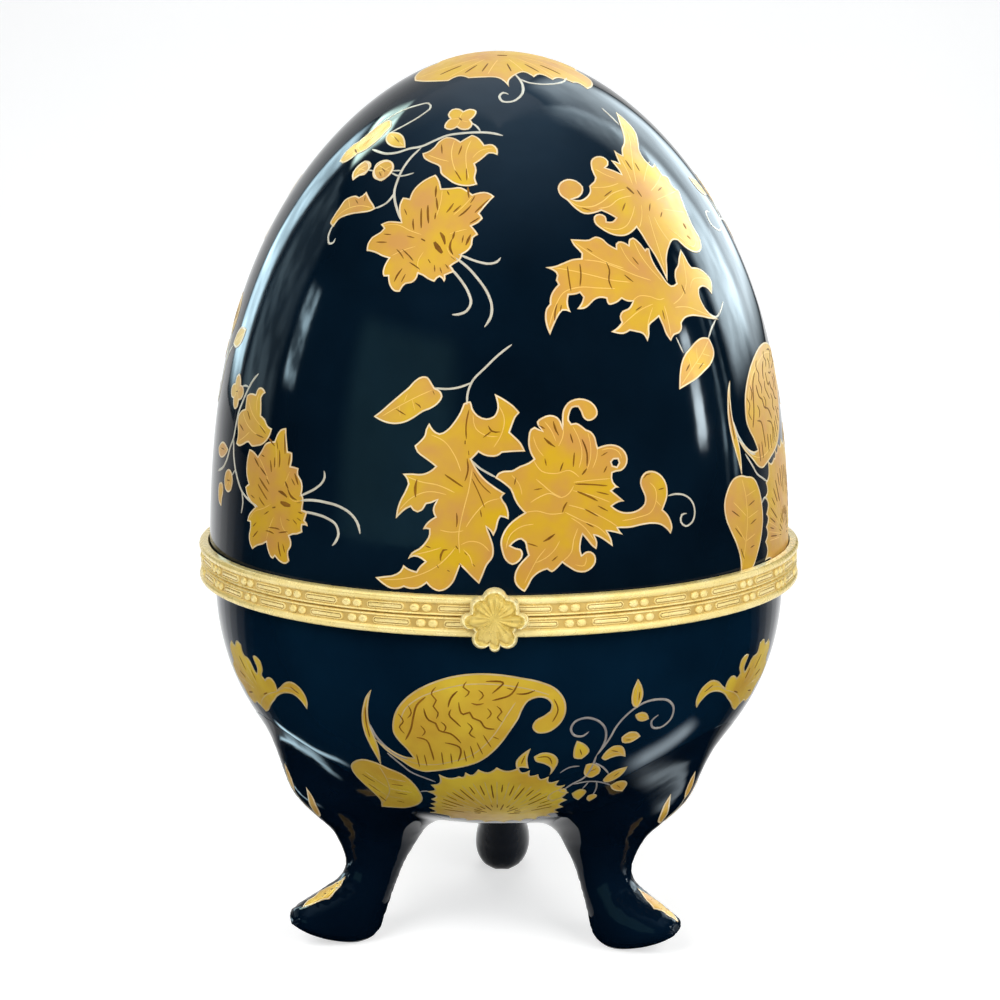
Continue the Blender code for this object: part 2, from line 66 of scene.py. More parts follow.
# Porcelain curves, as in the CAD
LID_SWELL = (-0.0405, 0.271, -0.272)
LID_WALL = 0.0032
BOWL_SIDE_POWER = 2.14
BOWL_BASE_POWER = 2.22
BOWL_CLEARANCE = 0.0223
BOWL_DEPTH = BOWL_TOP - BOWL_CLEARANCE
BOWL_WALL = 0.0034
BOWL_FLOOR = 0.0045
EDGE_ROUND = 0.0004  # the glaze rounds each porcelain edge

# Feet, as in the CAD: points on the front and the back of a foot and the half-width there
FOOT_COUNT = 3
FOOT_TURN = math.radians(-3.3)
KNEE_RISE = 0.0195
HEEL_RADIUS = 0.0280
HEEL_LEAN = -0.0016
SHOULDER_STATIONS = (
    ((-0.0010, 0.0050), (-0.0370, -0.0090), 0.0195),
    ((-0.0005, 0.0000), (-0.0342, -0.0152), 0.0192),
    ((-0.0020, -0.0060), (-0.0318, -0.0182), 0.0150),
    ((-0.0042, -0.0118), (-0.0300, -0.0203), 0.0108),
    ((-0.0087, -0.0168), (-0.0290, -0.0220), 0.0080),
)
SHIN_STATIONS = (
    ((0.0056, 0.0216), (-0.0105, 0.0180), 0.0062),
    ((0.0034, 0.0174), (-0.0088, 0.0150), 0.0048),
    ((0.0028, 0.0142), (-0.0075, 0.0121), 0.0043),
    ((0.0040, 0.0120), (-0.0062, 0.0090), 0.0046),
    ((0.0071, 0.0102), (-0.0048, 0.0052), 0.0053),
    ((0.0098, 0.0090), (-0.0032, 0.0012), 0.0056),
    ((0.0116, 0.0082), (0.0007, -0.0006), 0.0053),
    ((0.0128, 0.0075), (0.0062, 0.0005), 0.0046),
    ((0.0135, 0.0069), (0.0104, 0.0022), 0.0037),
    ((0.0138, 0.0061), (0.0127, 0.0036), 0.0022),
)
TOE_TIP = Vector((0.0139, 0.0047))
SHOULDER_ROUND = 1.8
SHIN_ROUND = 2.1
FILLET = 0.0013  # how far the glaze fills the crease between bowl and foot
FILLET_SINK = 0.00002  # how far the fillet's end lies inside the bowl's glaze
FLARE_END = 0.0024  # how far into the bowl a foot's side is followed
FLARE_CAP = 0.0008  # how much deeper a foot's cap lies

# Rims and clasp, as in the CAD
FIT_GAP = 0.0003
RIM_HEIGHT = LID_RIM_HIGH.z - SEAM
RIM_SHEET = 0.0006
ROLL_HEIGHT = 0.0014
ROLL_ARC = range(90, -61, -15)  # degrees, finer than in the CAD
SEAM_BEAD_ARC = range(90, -61, -30)
BAND_DEPTH = 0.00055
BAND_RADIUS = RIM_RADIUS - BAND_DEPTH
SEAM_BEAD_HEIGHT = 0.0004
SEAM_BEAD_PROUD = 0.0003
LIP_HEIGHT = 0.0024
CLASP_RISE = 0.0004
ORNAMENT_BACK = RIM_RADIUS + 0.0009
ORNAMENT_POCKET = 0.0009
ORNAMENT_EDGE_RISE = 0.0014
ORNAMENT_CROWN = 0.0010
ORNAMENT_BODY = 0.0043
ORNAMENT_WALL = 0.0009
ORNAMENT_LOBES = (
    (90, 0.0029, 0.0022),
    (38, 0.0031, 0.0017),
    (142, 0.0031, 0.0017),
    (-8, 0.0045, 0.00135),
    (188, 0.0045, 0.00135),
    (-60, 0.0044, 0.00165),
    (240, 0.0044, 0.00165),
    (270, 0.0051, 0.00095),
)

# The clasp's relief and scrolls, finer than in the CAD
ORNAMENT_RIBS = 17
ORNAMENT_VALLEY = 0.00016
ORNAMENT_RIB = (0.00015, 0.52, 0.26)  # height, share of the way out to its middle, and spread
ORNAMENT_LIP = (0.00030, 0.91, 0.05)
ORNAMENT_LIP_WAVE = 0.4
ORNAMENT_CUP = (-0.00034, 0.77, 0.05)
ORNAMENT_CUP_SWAY = 0.035
ORNAMENT_FACE_RISE = 0.0002  # thickness of the outline's edge
ORNAMENT_HIGHLIGHT_SHARE = 0.87  # from here out the front of the shell takes paler brass, a painted highlight along its edge
ORNAMENT_RING_POWER = 0.85  # below 1 the rings lie closer together toward the edge
ORNAMENT_PEAK_ANGLE = 0.3  # radians, where the height of the middle is read
SCROLLS = ((-0.0044, 1, 135), (0.0045, -1, 45))  # sideways place, hand and start in degrees
SCROLL_DROP = 0.0002
SCROLL_TURNS = 1.35
SCROLL_RADIUS = 0.00105
SCROLL_WIND = 0.78  # share of the radius by which it winds in
SCROLL_RISE = 0.00135
SCROLL_THICK = 0.00026
SCROLL_THIN = 0.45  # share of its thickness that it loses
SCROLL_TIP = (0.25, 4)  # share of its thickness at the start, and how fast that grows

# The stamped pattern of the rims: pairs of oval beads between long bars with an engraved line
GROUP_COUNT = 28
LID_PATTERN_TURN = 0.0
BASE_PATTERN_TURN = 1.1
BAND_MIDDLE = (FIT_GAP / 2 + SEAM_BEAD_HEIGHT + RIM_HEIGHT - ROLL_HEIGHT) / 2
BEAD_APART = 0.0021
BEAD_HALF = (0.00088, 0.00070)
BEAD_RISE = 0.00052
BEAD_FOOT = 0.0001
BEAD_LEVELS = (0, 20, 40, 60, 78)  # degrees up its round side
BEAD_SIDES = 24
BAR_SIDES = 36
STAMP_SINK = -0.00005
BAND_NEAR = 0.00003  # a face this near the band's radius belongs to the band
BAR_HALF = (0.00345, 0.00070)
BAR_STEPS = (
    (0.0, STAMP_SINK), (0.00005, 0.00016), (0.00013, 0.00026), (0.00026, 0.00026), (0.00031, 0.00008),
    (0.00038, 0.00008), (0.00043, 0.00026), (0.00055, 0.00032),
)
BAR_GROOVE = (3, 6)  # the steps of a bar between which its engraved line lies, coloured darker as painted shade

# How finely the shapes are divided
LATHE_SIDES = 240
LID_STEPS = 84
BOWL_STEPS = 60
FOOT_SIDES = 72
FOOT_LOW_STEPS = 52
FOOT_FLARE_STEPS = 22
FOOT_SAMPLES = 150
CURVE_SAMPLES = 400
ORNAMENT_SIDES = 240
ORNAMENT_RINGS = 26
SCROLL_STEPS = 40
SCROLL_SIDES = 10


def circle(count, start=0):
    """Angles once round."""
    return [2 * math.pi * (k + start) / count for k in range(count)]


def link(name, mesh, finishes, smooth_angle=40):
    mesh.shade_smooth()
    mesh.set_sharp_from_angle(angle=math.radians(smooth_angle))
    made = bpy.data.objects.new(name, mesh)
    bpy.context.scene.collection.objects.link(made)
    for finish in finishes:
        mesh.materials.append(finish)
    return made


def from_bmesh(name, bm, *finishes, smooth_angle=40):
    bmesh.ops.recalc_face_normals(bm, faces=bm.faces)
    mesh = bpy.data.meshes.new(name)
    bm.to_mesh(mesh)
    bm.free()
    return link(name, mesh, finishes, smooth_angle)


def lathe(bm, profile, sides=LATHE_SIDES):
    """Turns (radius, height) points round Z. Points of radius 0 become one vertex on the axis."""
    rings = []
    for r, z in profile:
        if r < 1e-7:
            rings.append([bm.verts.new((0, 0, z))])
            continue
        rings.append([bm.verts.new((r * math.cos(a), r * math.sin(a), z)) for a in circle(sides)])
    return rings


def skin(bm, rings, closed=False):
    """Fills between neighbouring rings, with a fan where a ring is one point."""
    pairs = list(zip(rings, rings[1:]))
    if closed:
        pairs.append((rings[-1], rings[0]))
    for one, two in pairs:
        n = max(len(one), len(two))
        for k in range(n):
            m = (k + 1) % n
            corners = []
            for vert in (one[k % len(one)], one[m % len(one)], two[m % len(two)], two[k % len(two)]):
                if vert not in corners:
                    corners.append(vert)
            bm.faces.new(corners)


def lid_point(share, radius=None, height=None):
    """(radius, height) on the lid's curve, share 0 at the rim and 1 at the tip."""
    radius = LID_RADIUS if radius is None else radius
    height = LID_TIP - LID_BOTTOM if height is None else height
    a, b, c = LID_SWELL
    u = math.sin(math.pi / 2 * share)
    swell = 1 + a * u + b * u**2 + c * u**3
    return (radius * math.cos(math.pi / 2 * share) * swell, LID_BOTTOM + height * u)


def bowl_point(share, radius=None, depth=None):
    """(radius, height) on the bowl's curve, share 0 at the rim and 1 under the axis."""
    radius = BOWL_RADIUS if radius is None else radius
    depth = BOWL_DEPTH if depth is None else depth
    across = math.cos(math.pi / 2 * share) ** (2 / BOWL_SIDE_POWER)
    down = math.sin(math.pi / 2 * share) ** (2 / BOWL_BASE_POWER)
    return (radius * across, BOWL_TOP - depth * down)


def curve_points(point_of, steps, **sizes):
    points = [point_of(i / steps, **sizes) for i in range(steps)]
    points.append((0, point_of(1, **sizes)[1]))
    return points


def rounded_edge(outer, inner, z, side):
    """The rim of a porcelain wall, as a half-round from the outer radius to the inner."""
    points = []
    for r, start in ((outer - EDGE_ROUND, 0), (inner + EDGE_ROUND, 90)):
        for degrees in (0, 30, 60, 90):
            a = math.radians(start + degrees)
            points.append((r + EDGE_ROUND * math.cos(a), z + side * EDGE_ROUND * (1 - math.sin(a))))
    return points


def make_lid(finish):
    outer = curve_points(lid_point, LID_STEPS)[::-1]
    inner = curve_points(
        lid_point, LID_STEPS // 2, radius=LID_RADIUS - LID_WALL, height=LID_TIP - LID_BOTTOM - LID_WALL
    )
    edge = rounded_edge(LID_RADIUS, LID_RADIUS - LID_WALL, LID_LOW.z, 1)
    bm = bmesh.new()
    skin(bm, lathe(bm, outer + edge + inner))
    return from_bmesh("lid_glaze", bm, finish)


def make_bowl(finish):
    outer = curve_points(bowl_point, BOWL_STEPS)[::-1]
    inner = curve_points(
        bowl_point, BOWL_STEPS // 2, radius=BOWL_RADIUS - BOWL_WALL, depth=BOWL_DEPTH - BOWL_FLOOR
    )
    edge = rounded_edge(BOWL_RADIUS, BOWL_RADIUS - BOWL_WALL, BOWL_HIGH.z, -1)
    bm = bmesh.new()
    skin(bm, lathe(bm, outer + edge + inner))
    return from_bmesh("bowl_glaze", bm, finish)


def smooth_between(values, t):
    """A smooth curve through the values, read at t, which counts stations from 0."""
    i = min(int(t), len(values) - 2)
    f = t - i
    before = values[max(i - 1, 0)]
    start = values[i]
    end = values[i + 1]
    after = values[min(i + 2, len(values) - 1)]
    return 0.5 * (
        2 * start
        + (end - before) * f
        + (2 * before - 5 * start + 4 * end - after) * f**2
        + (3 * start - before - 3 * end + after) * f**3
    )


CURVE_SHARES = [i / CURVE_SAMPLES for i in range(CURVE_SAMPLES + 1)]
LID_CURVE = np.array([lid_point(share) for share in CURVE_SHARES])
BOWL_CURVE = np.array([bowl_point(share) for share in CURVE_SHARES])


def off_bowl(point):
    """Nearest point of the bowl's outside, the outward normal there and the height off it, minus inside."""
    r = math.hypot(point.x, point.y)
    nearest = int(np.argmin((BOWL_CURVE[:, 0] - r) ** 2 + (BOWL_CURVE[:, 1] - point.z) ** 2))
    nearest = min(max(nearest, 1), len(BOWL_CURVE) - 2)
    tangent = BOWL_CURVE[nearest + 1] - BOWL_CURVE[nearest - 1]
    tangent = tangent / np.hypot(*tangent)
    normal = (-tangent[1], tangent[0])
    out = Vector((point.x / r, point.y / r, 0)) if r > 1e-9 else Vector((1, 0, 0))
    spot = out * float(BOWL_CURVE[nearest][0]) + Vector((0, 0, float(BOWL_CURVE[nearest][1])))
    direction = out * float(normal[0]) + Vector((0, 0, float(normal[1])))
    return spot, direction, (point - spot).dot(direction)


def foot_directions(number):
    """Outward and across, for a foot."""
    angle = math.pi / 2 + FOOT_TURN + 2 * math.pi * number / FOOT_COUNT
    return Vector((math.cos(angle), math.sin(angle), 0)), Vector((-math.sin(angle), math.cos(angle), 0))


def foot_section(outward, across, t, placed, knee):
    """The ring of points round a foot at station t, and its middle."""
    fronts = [anchor + Vector(front) for anchor, front, _, _ in placed]
    backs = [anchor + Vector(back) for anchor, _, back, _ in placed]
    widths = [width for _, _, _, width in placed]
    front = smooth_between(fronts, t)
    back = smooth_between(backs, t)
    width = smooth_between(widths, t)
    power = SHOULDER_ROUND + (SHIN_ROUND - SHOULDER_ROUND) * min(t / len(SHOULDER_STATIONS), 1)
    middle = (front + back) / 2
    reach = (front - back) / 2
    lean = Vector((HEEL_LEAN * max(1 - middle.y / knee.y, 0), 0, 0))
    ring = []
    for turn in circle(FOOT_SIDES):
        along = math.copysign(abs(math.cos(turn)) ** (2 / power), math.cos(turn))
        aside = math.copysign(abs(math.sin(turn)) ** (2 / power), math.sin(turn))
        point = middle + reach * along
        ring.append(outward * point.x + across * width * aside + Vector((0, 0, point.y)) + lean)
    return ring, outward * middle.x + Vector((0, 0, middle.y)) + lean


def make_foot(number, finish):
    """A cabriole foot whose sides flare into the bowl, as the glaze fills the crease."""
    outward, across = foot_directions(number)
    radius = BOWL_RADIUS * (1 - ((BOWL_DEPTH - KNEE_RISE) / BOWL_DEPTH) ** BOWL_BASE_POWER) ** (
        1 / BOWL_SIDE_POWER
    )
    knee = Vector((radius, BOWL_CLEARANCE + KNEE_RISE))
    heel = Vector((HEEL_RADIUS, 0))
    placed = [(knee, *station) for station in SHOULDER_STATIONS]
    placed += [(heel, *station) for station in SHIN_STATIONS]
    last = len(placed) - 1
    stations = [last * (1 - i / FOOT_SAMPLES) for i in range(FOOT_SAMPLES + 1)]
    sections = [foot_section(outward, across, t, placed, knee) for t in stations]
    columns = []
    for k in range(FOOT_SIDES):
        track = []
        for ring, middle in sections:
            point = ring[k].copy()
            point.z = max(point.z, 0)
            spot, normal, height = off_bowl(point)
            aside = point - middle
            aside = aside - normal * aside.dot(normal)
            track.append((point, spot, normal, height, aside.normalized()))
            if height < -FLARE_END:
                break
        columns.append(flared(track))
    bm = bmesh.new()
    steps = FOOT_LOW_STEPS + FOOT_FLARE_STEPS
    rings = [[bm.verts.new(column[i]) for column in columns] for i in range(steps + 2)]
    tip = heel + TOE_TIP
    toe = bm.verts.new(outward * tip.x + Vector((HEEL_LEAN, 0, tip.y)))
    centre = sum((v.co for v in rings[-1]), Vector()) / FOOT_SIDES
    skin(bm, [[toe], *rings, [bm.verts.new(centre)]])
    return from_bmesh(f"foot_glaze_{number + 1}", bm, finish, smooth_angle=60)


def flared(track):
    """One side of a foot from the toe up, bent out along the bowl where the two meet."""
    bent = []
    reach = 3 * FILLET  # height at which the bend starts
    end_rise = FILLET**2 / (4 * FLARE_END)
    for _, spot, normal, height, aside in track:
        height = max(height, -FLARE_END)
        root = math.sqrt(height**2 + FILLET**2)
        fade = min(max((reach - height) / (reach + FLARE_END), 0), 1)
        rise = (height + root) / 2 - (end_rise + FILLET_SINK) * fade**2 * (3 - 2 * fade)
        out = (root - height) / 2
        bent.append((spot + normal * rise + aside * out, height))
    points = np.array([list(p) for p, _ in bent])
    steps = np.concatenate([[0], np.cumsum(np.linalg.norm(np.diff(points, axis=0), axis=1))])
    heights = np.array([h for _, h in bent])
    near = np.argmax(heights < reach) if (heights < reach).any() else len(heights) // 2
    low = np.linspace(0, steps[near], FOOT_LOW_STEPS, endpoint=False)
    high = np.linspace(steps[near], steps[-1], FOOT_FLARE_STEPS + 1)
    column = [
        Vector([float(np.interp(s, steps, points[:, axis])) for axis in range(3)])
        for s in np.concatenate([low, high])
    ]
    column.append(column[-1] - track[-1][2] * FLARE_CAP)
    return column


def node_material(name):
    made = bpy.data.materials.new(name)
    made.use_nodes = True
    tree = made.node_tree
    return made, tree, tree.nodes["Principled BSDF"]


def noise_of(tree, scale, detail):
    """Noise over an object's own coordinates."""
    place = tree.nodes.new("ShaderNodeTexCoord")
    noise = tree.nodes.new("ShaderNodeTexNoise")
    noise.inputs["Scale"].default_value = scale
    noise.inputs["Detail"].default_value = detail
    tree.links.new(place.outputs["Object"], noise.inputs["Vector"])
    return noise.outputs["Fac"]


def noise_ramp(tree, scale, detail, stops):
    """Noise through a colour ramp of two stops, each (position, colour)."""
    ramp = tree.nodes.new("ShaderNodeValToRGB")
    tree.links.new(noise_of(tree, scale, detail), ramp.inputs["Fac"])
    for element, (position, colour) in zip(ramp.color_ramp.elements, stops):
        element.position = position
        element.color = (*colour, 1)
    return ramp.outputs["Color"]


TONES = (0.32, 0.68)  # where the noise turns from one colour to the other
ROUGH_TONES = (0.35, 0.75)
ROUGH_GRAIN = 0.7  # of the bump's grain
BUMP_STRENGTH = 0.2


def surface_material(name, colours, scale, roughs, grain, dent, level, metallic=0.0):
    """A procedural finish: two colours and two roughnesses through noise, and a fine bump."""
    made, tree, shader = node_material(name)
    greys = [(rough,) * 3 for rough in roughs]
    base = noise_ramp(tree, scale, 4, zip(TONES, colours))
    roughness = noise_ramp(tree, grain * ROUGH_GRAIN, 3, zip(ROUGH_TONES, greys))
    bump = tree.nodes.new("ShaderNodeBump")
    bump.inputs["Strength"].default_value = BUMP_STRENGTH
    bump.inputs["Distance"].default_value = dent
    tree.links.new(noise_of(tree, grain, 2), bump.inputs["Height"])
    tree.links.new(base, shader.inputs["Base Color"])
    tree.links.new(roughness, shader.inputs["Roughness"])
    tree.links.new(bump.outputs["Normal"], shader.inputs["Normal"])
    shader.inputs["Metallic"].default_value = metallic
    shader.inputs["Specular IOR Level"].default_value = level
    return made


# What finishes of one kind share
GLAZE = {"scale": 45, "roughs": (0.05, 0.09), "grain": 220, "dent": 0.00006}
GLAZE_LEVEL = 0.13  # the glaze mirrors its surroundings weakly from the front
FOOT_GLAZE_LEVEL = 0.09
GOLD_COAT = {"roughs": (0.34, 0.48), "grain": 900, "dent": 0.00002, "level": 0.3, "metallic": 0.18}
FINE_PRINT = {"scale": 300, "roughs": (0.34, 0.46), "grain": 900, "dent": 0.00002, "level": 0.3}
BRASS = {"scale": 260, "grain": 900, "level": 0.5}
POLISHED = {**BRASS, "roughs": (0.24, 0.36), "dent": 0.000003}
# The coat of the rims' painted shade: rougher than the polished brass
PAINTED_SHADE_COAT = {**BRASS, "roughs": (0.36, 0.50), "dent": 0.000003}

LID_GLAZE = surface_material(
    "lid_glaze", ((0.0010, 0.0042, 0.0090), (0.0018, 0.0078, 0.0165)), level=GLAZE_LEVEL, **GLAZE
)
BOWL_GLAZE = surface_material(
    "bowl_glaze", ((0.0008, 0.0068, 0.0165), (0.0014, 0.0110, 0.0260)), level=GLAZE_LEVEL, **GLAZE
)
FOOT_GLAZE = surface_material(
    "foot_glaze", ((0.0008, 0.0036, 0.0090), (0.0012, 0.0060, 0.0150)), level=FOOT_GLAZE_LEVEL, **GLAZE
)
GOLD_PRINT = surface_material("gold_print", ((0.59, 0.285, 0.062), (0.65, 0.385, 0.012)), scale=150, **GOLD_COAT)
BOWL_GOLD_PRINT = surface_material(
    "bowl_gold_print", ((0.58, 0.32, 0.030), (0.75, 0.53, 0.038)), scale=90, **GOLD_COAT
)
PALE_PRINT = surface_material("pale_print", ((0.70, 0.52, 0.29), (0.82, 0.68, 0.46)), metallic=0.1, **FINE_PRINT)
BOWL_EDGE_PRINT = surface_material(
    "bowl_edge_print", ((0.50, 0.36, 0.15), (0.62, 0.48, 0.26)), metallic=0.1, **FINE_PRINT
)
STEM_PRINT = surface_material("stem_print", ((0.50, 0.45, 0.35), (0.62, 0.57, 0.46)), metallic=0.1, **FINE_PRINT)
BOWL_STEM_PRINT = surface_material(
    "bowl_stem_print", ((0.22, 0.20, 0.20), (0.36, 0.32, 0.28)), metallic=0.1, **FINE_PRINT
)
VEIN_PRINT = surface_material("vein_print", ((0.78, 0.47, 0.10), (0.84, 0.56, 0.16)), metallic=0.15, **FINE_PRINT)
ENGRAVING = surface_material(
    "engraving", ((0.13, 0.045, 0.004), (0.25, 0.105, 0.008)), **{**FINE_PRINT, "roughs": (0.50, 0.65), "level": 0.1}
)
RIM_BRASS = surface_material("rim_brass", ((0.84, 0.65, 0.22), (0.90, 0.74, 0.32)), metallic=0.32, **POLISHED)
# Darker brass for the band between the stamped forms and the bars' engraved lines: painted shade in the recesses
RIM_PAINTED_SHADE = surface_material("rim_painted_shade", ((0.50, 0.33, 0.08), (0.66, 0.46, 0.13)), metallic=0.32, **PAINTED_SHADE_COAT)
CLASP_BRASS = surface_material("clasp_brass", ((0.60, 0.43, 0.085), (0.72, 0.54, 0.15)), metallic=0.34, **POLISHED)
# Paler brass for the front of the clasp's outline: a painted highlight
CLASP_PAINTED_HIGHLIGHT = surface_material("clasp_painted_highlight", ((0.84, 0.70, 0.30), (0.92, 0.80, 0.44)), metallic=0.3, **POLISHED)
HINGE_BRASS = surface_material(
    "hinge_brass", ((0.70, 0.50, 0.15), (0.80, 0.60, 0.22)), roughs=(0.30, 0.44), dent=0.00001, metallic=0.5, **BRASS
)
SPRING_BRASS = surface_material(
    "spring_brass", ((0.58, 0.40, 0.13), (0.70, 0.50, 0.19)), roughs=(0.34, 0.50), dent=0.00001, metallic=0.6, **BRASS
)

# Camera, fitted to the egg's outline in the photo
CAMERA_TURN = math.radians(0.7)
CAMERA_DISTANCE = 0.4511
CAMERA_HEIGHT = 0.1645
CAMERA_DIP = 0.179  # radians below level
CAMERA_LENS = 86.4
CAMERA_SENSOR = 36
CAMERA_SHIFT = 0.0011
CAMERA_NEAR = 0.01

# Floor and backdrop
FLOOR_FRONT = -5.0
FLOOR_BACK = 0.9
FLOOR_HALF_WIDTH = 3.0
FLOOR_BEND = 0.5
FLOOR_BEND_STEPS = 12
BACKDROP_TOP = 2.2
FLOOR_GREYS = (0.60, 0.62)
FLOOR_TONES = (0.3, 0.7)
FLOOR_NOISE = (6, 2)
FLOOR_GLOW = 0.60

# World and lamps. A lamp is its name, azimuth, distance, height and power.
WORLD_COLOUR = (0.80, 0.92, 1.0)
WORLD_STRENGTH = 0.16
WORLD_SEEN_STRENGTH = 0.96
LAMPS = (("fill_left", -38, 0.9, 0.75, 9), ("fill_right", 44, 0.9, 0.55, 8), ("fill_back", 180, 0.9, 0.9, 5))
LAMP_SIZE = 0.7
LAMP_AIM = (0, 0, 0.09)

# Windows that the glaze mirrors, on spheres round the egg: name, azimuths, elevations, strength, colour, how
# much of the strength the noise takes away in places, and what differs from window's own settings
COOL = (0.62, 0.87, 1.0)
COLD = (0.78, 0.92, 1.0)
SKY = {"sides": (), "ends": ((0, 0.98),), "distance": 0.85, "clear": True}
WINDOWS = (
    ("window_left_1", (-97, -88), (7, 25), 22, COOL, 0.9, {}),
    ("window_left_2", (-128, -98), (-4, 40), 1.5, COOL, 0.7, {}),
    ("window_left_3", (-144, -129), (-3, 37), 11, COOL, 0.45, {}),
    ("window_left_4", (-144, -120), (37, 49), 36, (0.72, 1.0, 0.92), 0.6, {"distance": 0.87, "clear": True}),
    ("window_right_1", (83, 89), (0, 19), 46, COLD, 0.5, {}),
    ("window_right_2", (97.5, 100), (-8, 30), 9, COOL, 0.9, {}),
    ("window_right_3", (103, 105.5), (-8, 34), 9, COOL, 0.9, {}),
    ("window_right_4", (108, 137), (2, 72), 17, (0.74, 0.91, 1.0), 0.35, {"clear": True}),
    ("window_right_5", (127, 163), (-2, 68), 6, COLD, 0.2, {"distance": 0.93}),
    ("window_room", (-66, -12), (-12, 29), 1.1, (0.40, 0.95, 1.0), 0.15, {}),
    ("window_above", (-180, 180), (36, 90), 2.9, (0.45, 0.72, 1.0), 0.1, SKY),
)
WINDOW_STEPS = 24
WINDOW_DISTANCE = 0.9
WINDOW_CENTRE = 0.11  # the height of the spheres' middle
WINDOW_SIDES = ((0, 0.22), (1, 0.22))
WINDOW_ENDS = ((0, 0.15), (1, 0.15))
WINDOW_NOISE = (9, 3)
WINDOW_NOISE_RANGE = (0.42, 0.62)

# Bright strips over the floor that the bowl's underside mirrors: name, path and half width in mm, strength, colour
FLOOR_GLOWS = (
    ("floor_glow_left", ((-84, 40), (-80, 32), (-71, 13), (-62, 1), (-54, -10), (-47, -14)), 3, 6.5, COOL),
    ("floor_glow_right", ((88, -5), (72, -13), (55, -21), (40, -26)), 11, 5.5, COLD),
)
FLOOR_GLOW_HEIGHT = 0.0009
FLOOR_GLOW_SIDES = ((0, 0.5), (1, 0.5))
FLOOR_GLOW_ENDS = ((0, 0.3), (1, 0.3))

# The half dome that the brass mirrors
DOME_HALF_TURN = 150
DOME_TOP = 89  # degrees of elevation
DOME_STRENGTH = 1.1
DOME_RADIUS = 0.97
DOME_HOLE = 0.014  # radius of the hole under the egg
DOME_HEIGHT = 0.0006  # of its flat bottom over the floor
DOME_STEPS = 12
DOME_SIDES = 40
DOME_SIDE_FADE = ((0, 0.14), (1, 0.14))
DOME_TOP_FADE = ((1, 0.4),)


def make_camera():
    data = bpy.data.cameras.new("camera")
    data.sensor_width = CAMERA_SENSOR
    data.lens = CAMERA_LENS
    data.shift_x = CAMERA_SHIFT
    data.clip_start = CAMERA_NEAR
    camera = bpy.data.objects.new("camera", data)
    camera.location = (
        CAMERA_DISTANCE * math.sin(CAMERA_TURN), -CAMERA_DISTANCE * math.cos(CAMERA_TURN), CAMERA_HEIGHT
    )
    camera.rotation_euler = (math.pi / 2 - CAMERA_DIP, 0, CAMERA_TURN)
    bpy.context.scene.collection.objects.link(camera)
    bpy.context.scene.camera = camera


def wired(tree, kind, *sources, **settings):
    """The first output of a new node whose inputs take the sources in order, each an output or a value."""
    made = tree.nodes.new(kind)
    for key, value in settings.items():
        setattr(made, key, value)
    for spot, source in enumerate(sources):
        if isinstance(source, bpy.types.NodeSocket):
            tree.links.new(source, made.inputs[spot])
        else:
            made.inputs[spot].default_value = source
    return made.outputs[0]


def times(tree, one, two):
    return wired(tree, "ShaderNodeMath", one, two, operation="MULTIPLY")


def emission(tree, colour, strength):
    return wired(tree, "ShaderNodeEmission", (*colour, 1), strength)


def bare_material(name):
    """A material with nothing but its output."""
    made, tree, shader = node_material(name)
    tree.nodes.remove(shader)
    return made, tree


def surfaced(tree, surface, output="Material Output"):
    tree.links.new(surface, tree.nodes[output].inputs["Surface"])


def seen_rays(tree):
    """1 for rays that see the background: from the camera, or by way of a gloss or through glass."""
    path = tree.nodes.new("ShaderNodeLightPath")
    total = path.outputs["Is Camera Ray"]
    for kind in ("Is Glossy Ray", "Is Transmission Ray"):
        total = wired(tree, "ShaderNodeMath", total, path.outputs[kind], operation="ADD", use_clamp=True)
    return total


def make_floor():
    """A pale floor that runs up into a pale backdrop."""
    profile = [(FLOOR_FRONT, 0), (FLOOR_BACK, 0)]
    for step in range(1, FLOOR_BEND_STEPS + 1):
        a = math.pi / 2 * step / FLOOR_BEND_STEPS
        profile.append((FLOOR_BACK + FLOOR_BEND * math.sin(a), FLOOR_BEND * (1 - math.cos(a))))
    profile.append((FLOOR_BACK + FLOOR_BEND, BACKDROP_TOP))
    bm = bmesh.new()
    rows = [[bm.verts.new((x, y, z)) for x in (-FLOOR_HALF_WIDTH, FLOOR_HALF_WIDTH)] for y, z in profile]
    for one, two in zip(rows, rows[1:]):
        bm.faces.new((one[0], one[1], two[1], two[0]))
    made, tree = bare_material("pale_floor")
    greys = [(grey,) * 3 for grey in FLOOR_GREYS]
    diffuse = wired(tree, "ShaderNodeBsdfDiffuse", noise_ramp(tree, *FLOOR_NOISE, zip(FLOOR_TONES, greys)))
    both = wired(tree, "ShaderNodeAddShader", diffuse, emission(tree, (1, 1, 1), FLOOR_GLOW))
    surfaced(tree, wired(tree, "ShaderNodeMixShader", seen_rays(tree), diffuse, both))
    floor = from_bmesh("pale_floor", bm, made)


def around(azimuth, distance, height):
    """A place round the egg: azimuth 0 is in front of the clasp and 90 to its right."""
    a = math.radians(azimuth)
    return (distance * math.sin(a), -distance * math.cos(a), height)


def make_light():
    world = bpy.data.worlds.new("studio")
    world.use_nodes = True
    bpy.context.scene.world = world
    tree = world.node_tree
    dim = tree.nodes["Background"]
    dim.inputs["Color"].default_value = (*WORLD_COLOUR, 1)
    dim.inputs["Strength"].default_value = WORLD_STRENGTH
    white = wired(tree, "ShaderNodeBackground", (1, 1, 1, 1), WORLD_SEEN_STRENGTH)
    both = wired(tree, "ShaderNodeMixShader", seen_rays(tree), dim.outputs[0], white)
    surfaced(tree, both, "World Output")
    for name, azimuth, distance, height, power in LAMPS:
        data = bpy.data.lights.new(name, "AREA")
        data.size = LAMP_SIZE
        data.energy = power
        lamp = bpy.data.objects.new(name, data)
        place = around(azimuth, distance, height)
        lamp.location = place
        lamp.rotation_euler = (Vector(LAMP_AIM) - Vector(place)).to_track_quat("-Z", "Y").to_euler()
        lamp.visible_glossy = False
        bpy.context.scene.collection.objects.link(lamp)


